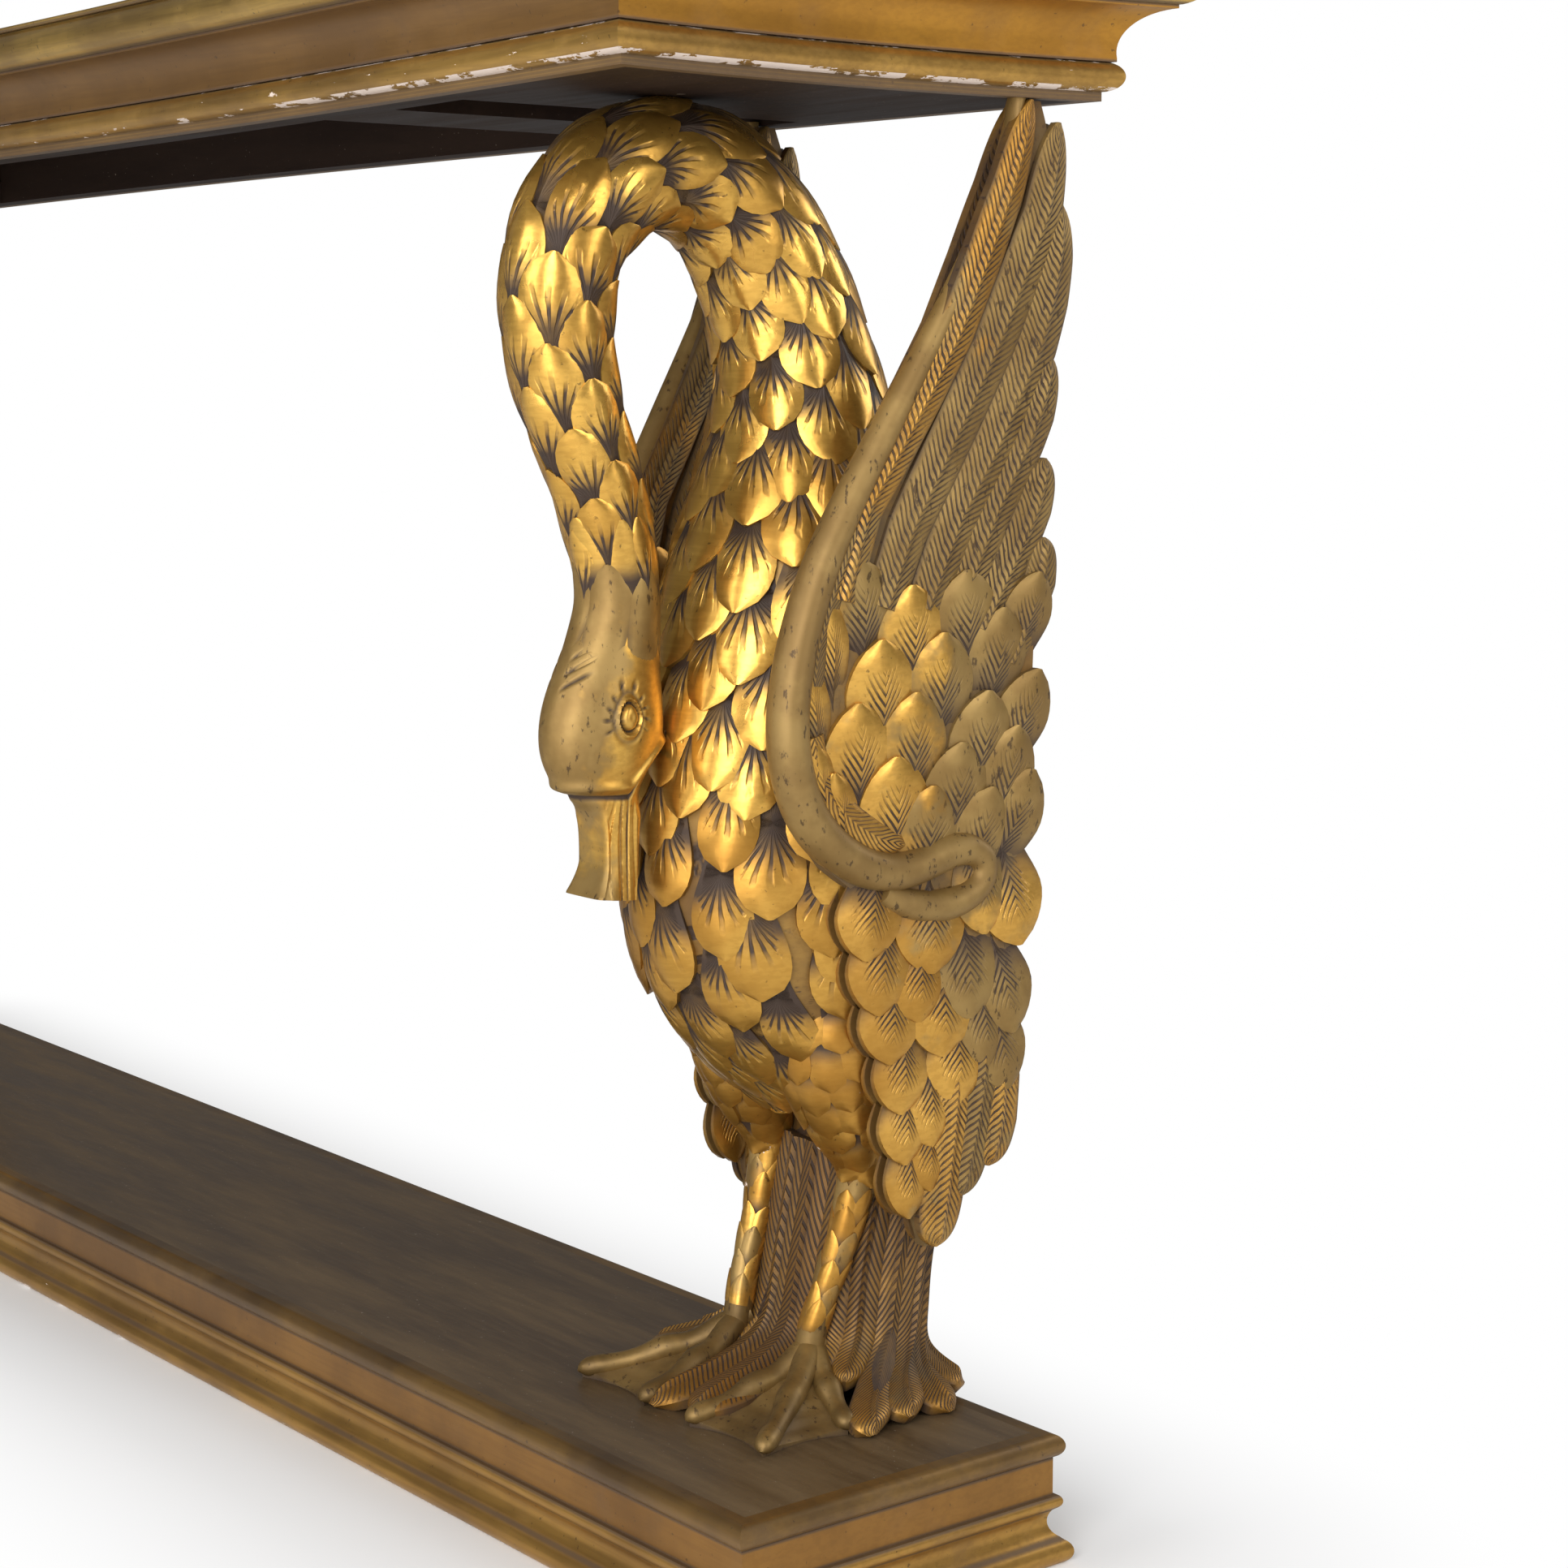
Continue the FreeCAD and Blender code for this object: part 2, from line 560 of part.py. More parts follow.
def ring(centre, across, along, half_across, half_along, squareness=2.0):
    """Poles of a closed ring round a centre in the plane of two directions."""
    # a smooth curve runs a little inside its poles
    swell_share = 3 / (2 + math.cos(2 * math.pi / RING_POINTS))
    power = 2 / squareness
    points = []
    for step in range(RING_POINTS):
        turn = 2 * math.pi * step / RING_POINTS
        cos, sin = math.cos(turn), math.sin(turn)
        a = math.copysign(abs(cos) ** power, cos) * half_across * swell_share
        b = math.copysign(abs(sin) ** power, sin) * half_along * swell_share
        points.append(centre + across * a + along * b)
    return points


def loft(rings):
    """Smooth solid whose skin is drawn over rings of poles, with flat ends."""
    around = len(rings[0])
    inner = len(rings) - 4
    skin = Part.BSplineSurface()
    skin.buildFromPolesMultsKnots(
        [[poles[i] for poles in rings] for i in range(around)],
        [1] * (around + 1),
        [4] + [1] * inner + [4],
        list(range(around + 1)),
        list(range(inner + 2)),
        True,
        False,
        3,
        3,
    )
    side = skin.toShape()
    rims = [edge for edge in side.Edges if edge.isClosed()]
    shell = Part.Shell([side] + [Part.Face(Part.Wire([rim])) for rim in rims])
    shell.sewShape()
    solid = Part.Solid(shell)
    if solid.Volume < 0:
        solid.reverse()
    return solid


AHEAD = V(0, 1, 0)
OUTWARD = V(1, 0, 0)


def body_shape():
    """Egg of the body, from the shoulders down to the vent."""
    rings = []
    for up, middle, half_deep, half_wide in BODY_shares:
        centre = V(0, size["swan_depth"] * middle, height(up))
        halves = (size["swan_width"] * half_wide, size["swan_depth"] * half_deep)
        rings.append(ring(centre, OUTWARD, AHEAD, *halves))
    return loft(rings)


def neck_shape():
    """Neck from the shoulders over its arch and down to the head, flat on top."""
    up, middle, half_deep, half_wide = BODY_shares[0]
    first = V(0, size["swan_depth"] * middle, height(up))
    rings = [ring(first, OUTWARD, AHEAD, size["swan_width"] * half_wide, size["swan_depth"] * half_deep)]
    spine = [V(0, size["swan_depth"] * place, height(up)) for up, place, _ in NECK_shares]
    way = [first] + spine
    for i, (_, _, half_thick) in enumerate(NECK_shares, start=1):
        run = way[min(i + 1, len(way) - 1)] - way[i - 1]
        if i == len(way) - 1:
            run = V(0, 0, -1)
        run.normalize()
        half = size["neck_width"] * half_thick
        rings.append(ring(way[i], OUTWARD, run.cross(OUTWARD) * -1, half, half))
    arch = loft(rings)
    lid = Part.makeBox(size["swan_width"], 2 * size["swan_depth"], size["swan_height"])
    lid.translate(V(-size["swan_width"] / 2, -size["swan_depth"], height(1)))
    return arch.cut(lid)


def head_shape():
    """Head and bill, pointing down in front of the breast."""
    up, place, half_thick = NECK_shares[-1]
    half = size["neck_width"] * half_thick
    rings = [ring(V(0, size["swan_depth"] * place, height(up)), OUTWARD, AHEAD, half, half)]
    for up, middle, half_deep, half_wide in HEAD_shares:
        centre = V(0, size["swan_depth"] * middle, height(up))
        halves = (size["head_width"] * half_wide, size["head_width"] * half_deep)
        rings.append(ring(centre, OUTWARD, AHEAD, *halves))
    head = loft(rings)
    up, place, half = EYE_shares
    for side in (-1, 1):
        eye = Part.makeSphere(size["head_width"] * half)
        eye.translate(V(side * size["head_width"] * EYE_OUT_share, size["swan_depth"] * place, height(up)))
        head = head.fuse(eye)
    return head


def leg_shape(side):
    """Thigh and shank of one leg."""
    rings = []
    for up, place, out, half_thick in LEG_shares:
        centre = V(side * size["leg_spread"] * out, size["swan_depth"] * place, height(up))
        half = size["leg_width"] * half_thick
        rings.append(ring(centre, OUTWARD, AHEAD, half, half))
    return loft(rings)


def foot_shape(side):
    """Webbed foot with three toes, spreading from the ankle."""
    up, place, out, half_thick = LEG_shares[-1]
    ankle = V(side * size["leg_spread"] * out, size["swan_depth"] * place, height(up))
    span = size["foot_span"]

    def way(turn):
        angle = TOE_OUT - math.pi / 2 + math.radians(turn)
        return V(side * math.cos(angle), math.sin(angle), 0)

    rings = [[ankle + way(turn) * (size["leg_width"] * half_thick) for turn, _ in WEB_shares]]
    for up, grown, kept in FOOT_shares:
        centre = V(ankle.x, ankle.y, height(up))
        rings.append([centre + way(turn) * (span * grown * (web * (1 - kept) + kept)) for turn, web in WEB_shares])
    foot = loft(rings)
    for turn, reach in TOE_shares:
        ahead = way(turn)
        joints = []
        for along, up, half_thick in JOINT_shares:
            centre = V(ankle.x, ankle.y, base_top) + ahead * (span * reach * along)
            half = span * half_thick
            joints.append(ring(centre + V(0, 0, span * up), ahead.cross(V(0, 0, 1)), V(0, 0, 1), half, half))
        foot = foot.fuse(loft(joints))
    ground = Part.makeBox(4 * span, 4 * span, span)
    ground.translate(V(ankle.x - 2 * span, ankle.y - 2 * span, base_top - span))
    return largest(foot.cut(ground))


def tail_shape():
    """Tail hanging behind the legs and spreading on the plinth board."""
    rings = []
    for up, middle, half_deep, half_wide, squareness in TAIL_shares:
        centre = V(0, size["tail_depth"] * middle, height(up))
        half_x = size["tail_width"] * half_wide
        half_y = size["tail_depth"] * half_deep
        rings.append(ring(centre, OUTWARD, AHEAD, half_x, half_y, squareness))
    return loft(rings)


def wing_shape(side):
    """Raised wing: a blade with feathered trailing edge and a rolled leading edge."""
    back = V(WING_SWEEP_share, 1, 0)
    up_wing = V(WING_LEAN_share, 0, 1)
    root = V(size["wing_spread"] + WING_LEAN_share * (base_top - height(WING_ROOT_share)), 0, base_top)

    def on_wing(up, place):
        return root + up_wing * (size["swan_height"] * up) + back * (size["swan_depth"] * place)

    foot = [on_wing(up, place) for up, place in WING_FOOT_shares]
    lead = [on_wing(up, place) for up, place in WING_LEAD_shares]
    trail = [on_wing(up, place) for up, place, _ in WING_TRAIL_shares]
    edge = Part.BSplineCurve()
    edge.interpolate(Points=foot + lead)
    facing = up_wing.cross(back)
    facing.normalize()
    edges = [edge.toShape(), Part.LineSegment(lead[-1], trail[0]).toShape()]
    for start, end, (_, _, bulge_share) in zip(trail, trail[1:] + foot[:1], WING_TRAIL_shares):
        rise = (end - start).cross(facing) * (bulge_share / 2)
        edges.append(Part.Arc(start, (start + end) * 0.5 + rise, end).toShape())
    flat = Part.Face(Part.Wire(edges))
    across = facing * size["wing_thick"]
    flat.translate(across * -0.5)
    blade = flat.extrude(across)
    path = [on_wing(up, place) for up, place in WING_SCROLL_shares + WING_RETURN_shares] + lead
    roll = []
    for i, point in enumerate(path):
        run = path[min(i + 1, len(path) - 1)] - path[max(i - 1, 0)]
        run.normalize()
        if i == len(path) - 1:
            run = V(0, 0, 1)
        half = size["roll_width"] / 2 * WING_ROLL_shares[i]
        roll.append(ring(point, OUTWARD, run.cross(OUTWARD), half, half))
    # two lengths of roll, as one would run through itself
    turned = len(WING_SCROLL_shares)
    wing = blade.fuse([loft(roll[:turned]), loft(roll[turned - 1:])])
    lid = Part.makeBox(2 * size["swan_width"], 2 * size["swan_depth"], size["swan_height"])
    lid.translate(V(-size["swan_width"], -size["swan_depth"] / 2, height(1)))
    wing = wing.cut(lid)
    if side < 0:
        wing = wing.mirror(V(), OUTWARD)
    return wing


def largest(shape):
    """Largest solid of a cut, without the slivers beside it."""
    return max(shape.Solids, key=lambda solid: solid.Volume)


def carved_shapes():
    """Ten carved pieces of one swan on its centre plane; sides are +X and -X."""
    body = body_shape()
    tail = tail_shape().cut(body)
    carved = {"body": body, "neck": neck_shape(), "head": head_shape()}
    for side in (1, -1):
        carved["leg", side] = largest(leg_shape(side).cut(body))
        carved["foot", side] = foot_shape(side)
        tail = tail.cut(carved["leg", side])
    carved["tail"] = largest(tail)
    for side in (1, -1):
        carved["wing", side] = largest(wing_shape(side).cut(body).cut(carved["tail"]))
    return carved


def swan(name, sign, carved):
    """Set the carved pieces of a swan on its end of the plinth."""
    outer = -1 if sign else 1
    for part, shape in carved.items():
        label = part
        if isinstance(part, tuple):
            label = "%s_%s" % ("outer" if part[1] == outer else "inner", part[0])
        piece = doc.addObject("Part::Feature", "%s_swan_%s" % (name, label))
        piece.Shape = shape
        piece.setExpression("Placement.Base.x", bind(sign + SWAN_PLACE))
        pieces.append(piece)


plinth()
frieze()
underframe()
carved = carved_shapes()
swan("right", "", carved)
swan("left", "-", carved)
doc.recompute()
failed = [thing.Name for thing in doc.Objects if "Invalid" in thing.State or "Error" in thing.State]
if failed:
    sys.exit("failed: " + ", ".join(failed))
os.makedirs("parts", exist_ok=True)
for piece in pieces:
    if piece.Shape.isNull() or not piece.Shape.isValid():
        sys.exit("bad shape: " + piece.Label)
for piece in pieces:
    piece.Shape.exportStep("parts/%s.step" % piece.Label)
    box_ = piece.Shape.BoundBox
    print("%-24s %d solids %9.0f mm3" % (piece.Label, len(piece.Shape.Solids), piece.Shape.Volume),
          [round(v) for v in (box_.XMin, box_.YMin, box_.ZMin, box_.XMax, box_.YMax, box_.ZMax)])
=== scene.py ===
import logging
import math
from dataclasses import dataclass, field, replace
from enum import Enum
from typing import Callable, Sequence

import bpy
import numpy as np
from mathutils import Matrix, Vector


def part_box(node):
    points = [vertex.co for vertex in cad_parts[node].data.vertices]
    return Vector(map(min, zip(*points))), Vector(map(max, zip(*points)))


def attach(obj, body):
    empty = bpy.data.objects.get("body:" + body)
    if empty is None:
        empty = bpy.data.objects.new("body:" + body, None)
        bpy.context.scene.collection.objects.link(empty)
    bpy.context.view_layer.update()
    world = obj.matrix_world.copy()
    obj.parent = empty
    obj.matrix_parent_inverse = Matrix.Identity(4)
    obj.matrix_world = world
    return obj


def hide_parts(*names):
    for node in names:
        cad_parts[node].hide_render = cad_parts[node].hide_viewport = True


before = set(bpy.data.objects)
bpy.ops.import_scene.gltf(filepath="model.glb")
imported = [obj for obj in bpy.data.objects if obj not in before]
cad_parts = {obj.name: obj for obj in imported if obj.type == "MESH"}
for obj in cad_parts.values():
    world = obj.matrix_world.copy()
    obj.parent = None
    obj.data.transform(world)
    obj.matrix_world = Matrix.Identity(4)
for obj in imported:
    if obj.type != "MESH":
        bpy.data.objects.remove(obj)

logging.basicConfig(level=logging.INFO, format="%(message)s")
LOG = logging.getLogger("console_table")
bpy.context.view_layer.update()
MM = 0.001
Array = np.ndarray
Color = tuple[float, float, float]
SHARP_ANGLE = math.radians(40)
STEP = 1e-3
PLINTH_SKIM = 0.1 * MM
BARB_SPAN = 62.0


class Side(Enum):
    """Which way a leg, foot or wing lies from the swan's centre plane."""

    PLUS = 1
    MINUS = -1


class Cut(Enum):
    """What the carver's knife left on a surface, beside the relief itself."""

    FAN = "strokes that fan out from a feather's root"
    PALM = "strokes that slant off a feather's shaft near its root"
    BARB = "barbs that slant off the shaft all along"
    NONE = "nothing"


def smoothstep(low: float, high: float, x: Array) -> Array:
    """Ease from 0 at low to 1 at high."""
    t = np.clip((x - low) / (high - low), 0, 1)
    return t * t * (3 - 2 * t)


# Mesh building


@dataclass(frozen=True)
class Leaf:
    """Grid of one feather's leaf, with its rim repeated as the foot of its walls."""

    across: Array
    along: Array
    wall: Array
    faces: list[list[int]]
    # tone of each vertex, which the materials turn into painted shade where it is low
    cavity: Array


@dataclass
class Carving:
    """Vertices, faces and surface data of one carved mesh, gathered piece by piece."""

    points: list[Array] = field(default_factory=list)
    faces: list[list[int]] = field(default_factory=list)
    uvs: list[Array] = field(default_factory=list)
    tones: list[Array] = field(default_factory=list)
    count: int = 0

    def add(self, points: Array, faces: Sequence[Sequence[int]], uv: Array, tone: Array,
            outward: Sequence[float] | None = None) -> None:
        """Append a patch.

        Args:
            points: Vertex positions, one row each.
            faces: Vertex indices of each face, counted inside the patch.
            uv: Across and along each vertex, for incised lines.
            tone: Height in the relief, which the materials turn into painted shade where it is low, random
                share and paint share of each vertex.
            outward: Where the first face has to look, for a patch that may be inside out.
        """
        if outward is not None:
            corner, following, _, last = (points[index] for index in faces[0])
            if np.dot(np.cross(following - corner, last - corner), outward) < 0:
                faces = [face[::-1] for face in faces]
        self.points.append(points)
        self.faces.extend([[index + self.count for index in face] for face in faces])
        self.uvs.append(uv)
        self.tones.append(tone)
        self.count += len(points)

    def add_feathers(self, leaf: Leaf, points: Array, cavity: Array, paint: Sequence[float],
                     rng: np.random.Generator, span: float = 1.0) -> None:
        """Append feathers that share one leaf.

        Args:
            leaf: The leaf.
            points: Vertices, one feather after the other.
            cavity: Height in the relief of each vertex of a feather, which the materials turn into painted
                shade where it is low.
            paint: Paint share of each feather.
            rng: Seeded random source.
            span: How far the strokes' own scale runs from root to tip.
        """
        each = len(leaf.across)
        uv = np.stack([leaf.across * 0.5 + 0.5, leaf.along * span], axis=1)
        middle = np.argmin(np.abs(leaf.across) + np.abs(leaf.along - 0.5))
        for i, share in enumerate(paint):
            own = points[i * each:(i + 1) * each]
            tone = np.stack([cavity, np.full(each, rng.random()), np.full(each, share)], axis=1)
            self.add(own, leaf.faces, uv, tone, outward=own[middle] - own[-1])

    def merge(self, other: "Carving", turn: float, place: Sequence[float], floor: float) -> None:
        """Take over another carving, turned about the upright and moved.

        Args:
            other: The carving to take over.
            turn: Turn in radians.
            place: Where its origin goes.
            floor: Lowest height that it may reach.
        """
        points = np.vstack(other.points)
        cos, sin = math.cos(turn), math.sin(turn)
        x = cos * points[:, 0] - sin * points[:, 1]
        y = sin * points[:, 0] + cos * points[:, 1]
        turned = np.stack([x, y, points[:, 2]], axis=1) + np.array(place)
        turned[:, 2] = np.maximum(turned[:, 2], floor)
        self.add(turned, other.faces, np.vstack(other.uvs), np.vstack(other.tones))

    def mirrored(self) -> "Carving":
        """The same carving on the other side of the swan's centre plane."""
        twin = Carving()
        points = np.vstack(self.points) * (-1, 1, 1)
        twin.add(points, [face[::-1] for face in self.faces], np.vstack(self.uvs), np.vstack(self.tones))
        return twin

    def build(self, name: str, offset: Vector) -> bpy.types.Object:
        """Make the mesh object.

        Args:
            name: Object name.
            offset: Where the carving's own origin goes.

        Returns:
            The new object, at the origin, with its place in its mesh.
        """
        mesh = bpy.data.meshes.new(name)
        points = np.vstack(self.points) + np.array(offset)
        mesh.from_pydata(points.tolist(), [], self.faces)
        corners = np.empty(len(mesh.loops), np.int32)
        mesh.loops.foreach_get("vertex_index", corners)
        layer = mesh.uv_layers.new(name="lie")
        layer.data.foreach_set("uv", np.vstack(self.uvs)[corners].ravel().astype(np.float32))
        tones = np.hstack([np.vstack(self.tones), np.ones((len(points), 1))])
        tone_layer = mesh.color_attributes.new("tone", "FLOAT_COLOR", "POINT")
        tone_layer.data.foreach_set("color", tones.ravel().astype(np.float32))
        mesh.polygons.foreach_set("use_smooth", [True] * len(mesh.polygons))
        mesh.set_sharp_from_angle(angle=SHARP_ANGLE)
        mesh.validate()
        mesh.update()
        piece = bpy.data.objects.new(name, mesh)
        bpy.context.scene.collection.objects.link(piece)
        return piece


def sheet_faces(rows: int, columns: int) -> tuple[list[list[int]], list[int]]:
    """Faces of a closed sheet: a grid on top, walls round it and one face below.

    Args:
        rows: Cells one way.
        columns: Cells the other way.

    Returns:
        Faces, and the rim's vertices in order, which the lower rim repeats after the grid.
    """
    grid = np.arange((rows + 1) * (columns + 1)).reshape(rows + 1, columns + 1)
    faces = [[grid[r, c], grid[r, c + 1], grid[r + 1, c + 1], grid[r + 1, c]]
             for r in range(rows) for c in range(columns)]
    rim = [*grid[0, :], *grid[1:, -1], *grid[-1, -2::-1], *grid[-2:0:-1, 0]]
    below = grid.size
    for i, corner in enumerate(rim):
        j = (i + 1) % len(rim)
        faces.append([corner, below + i, below + j, rim[j]])
    faces.append([below + i for i in range(len(rim))][::-1])
    return [[int(corner) for corner in face] for face in faces], [int(corner) for corner in rim]


def spline_weights(count: int, v: Array) -> Array:
    """Weights of clamped cubic spline poles at places between 0 and 1.

    Args:
        count: Number of poles.
        v: Places along the spline.

    Returns:
        One row of pole weights for each place.
    """
    spans = count - 3
    knots = np.concatenate([[0] * 3, np.arange(spans + 1), [spans] * 3]).astype(float)
    x = np.clip(v, 0, 1 - 1e-9)[:, None] * spans
    basis = ((knots[None, :-1] <= x) & (x < knots[None, 1:])).astype(float)
    for degree in range(1, 4):
        left = knots[degree:-1] - knots[:-degree - 1]
        right = knots[degree + 1:] - knots[1:-degree]
        with np.errstate(divide="ignore", invalid="ignore"):
            rise = np.where(left > 0, (x - knots[:-degree - 1]) / left, 0)
            fall = np.where(right > 0, (knots[degree + 1:] - x) / right, 0)
        basis = rise * basis[:, :-1] + fall * basis[:, 1:]
    return basis


@dataclass
class TubeSkin:
    """Smooth skin round a spine in the swan's centre plane.

    Each station gives the spine's point, the direction of the ring's depth, and its
    half depth and half width, in metres.
    """

    centres: Array
    depths: Array
    widths: Array
    squares: Array | None = None

    @staticmethod
    def along(spine: Array, half_depth: Array, half_width: Array, level: int = 0,
              x: Array | None = None) -> "TubeSkin":
        """Make a skin whose rings stand square to the spine.

        Args:
            spine: Places front to back and heights, one row each.
            half_depth: Half depth of each ring.
            half_width: Half width of each ring.
            level: How many rings at the start lie level instead.
            x: Sideways place of each ring, where the spine leaves the centre plane.

        Returns:
            The skin.
        """
        run = np.gradient(spine, axis=0)
        run /= np.linalg.norm(run, axis=1)[:, None]
        across = np.stack([run[:, 1], -run[:, 0]], axis=1)
        across[:level] = (1, 0)
        zeros = np.zeros(len(spine)) if x is None else np.asarray(x, float)
        centres = np.stack([zeros, spine[:, 0], spine[:, 1]], axis=1)
        depths = np.stack([np.zeros(len(spine)), across[:, 0], across[:, 1]], axis=1) * half_depth[:, None]
        return TubeSkin(centres, depths, half_width)

    def at(self, u: Array, v: Array) -> Array:
        """Points of the skin.

        Args:
            u: Turns round the ring.
            v: Places along the spine, 0 to 1.

        Returns:
            One row per point.
        """
        weights = spline_weights(len(self.centres), v)
        centre, depth, width = weights @ self.centres, weights @ self.depths, weights @ self.widths
        turn = 2 * math.pi * u
        across, ahead = np.cos(turn), np.sin(turn)
        if self.squares is not None:
            corner = (across**4 + ahead**4) ** -0.25 - 1
            grow = 1 + corner * (weights @ self.squares)
            across, ahead = across * grow, ahead * grow
        points = centre + depth * ahead[:, None]
        points[:, 0] += width * across
        return points

    def facing(self, u: Array, v: Array) -> tuple[Array, Array]:
        """Which way the skin looks.

        Args:
            u: Turns round the ring.
            v: Places along the spine, 0 to 1.

        Returns:
            Outward normals, and how far the skin runs for each unit of v.
        """
        low, high = np.clip(v - STEP, 0, 1), np.clip(v + STEP, 0, 1)
        along = (self.at(u, high) - self.at(u, low)) / (high - low)[:, None]
        normal = np.cross(self.at(u + STEP, v) - self.at(u - STEP, v), along)
        normal = normal / np.maximum(np.linalg.norm(normal, axis=1)[:, None], 1e-12)
        outward = self.at(u, v) - (spline_weights(len(self.centres), v) @ self.centres)
        flip = np.where((normal * outward).sum(axis=1) < 0, -1, 1)
        return normal * flip[:, None], np.linalg.norm(along, axis=1)

    def girth(self, v: Array) -> Array:
        """Length round the skin at places along it."""
        depth, width = (spline_weights(len(self.centres), v) @ half for half in (self.depths, self.widths))
        return 2 * math.pi * np.sqrt((np.linalg.norm(depth, axis=1)**2 + width**2) / 2)

    def core(self, carving: Carving, v_range: tuple[float, float], cells: tuple[int, int], tone: Color,
             relief: Callable[[Array, Array], Array] | None = None, inset: float = 0.0) -> None:
        """Add the closed skin itself, raised by a relief.

        Args:
            carving: Where the patch goes.
            v_range: Part of the spine that it covers.
            cells: Cells round and along.
            tone: Relief height, random share and paint share of the whole patch; a low relief height becomes
                painted shade in the materials.
            relief: Height over the skin at its points and turns.
            inset: How far the skin is drawn in.
        """
        around, along = cells
        v, u = np.meshgrid(np.linspace(*v_range, along + 1), np.arange(around) / around, indexing="ij")
        u, v = u.ravel(), v.ravel()
        normal, _ = self.facing(u, v)
        points = self.at(u, v)
        lift = np.full(len(u), -inset) if relief is None else relief(points, u) - inset
        points = points + normal * lift[:, None]
        faces = []
        for row in range(along):
            a, b = row * around, (row + 1) * around
            faces += [[a + i, a + j, b + j, b + i] for i, j in enumerate([*range(1, around), 0])]
        faces.append(list(range(around))[::-1])
        faces.append(list(range(along * around, (along + 1) * around)))
        uv = np.stack([u, (v - v_range[0]) / (v_range[1] - v_range[0])], axis=1)
        tones = np.tile(np.array(tone, float), (len(points), 1))
        # sunken relief, such as the eye's grooves, the combs and the lip's groove, gets a lower tone: painted
        # shade
        if relief is not None:
            tones[:, 0] = np.clip(tones[:, 0] + np.minimum(lift + inset, 0) / (1.2 * MM), 0, 1)
        carving.add(points, faces, uv, tones, outward=normal[0])


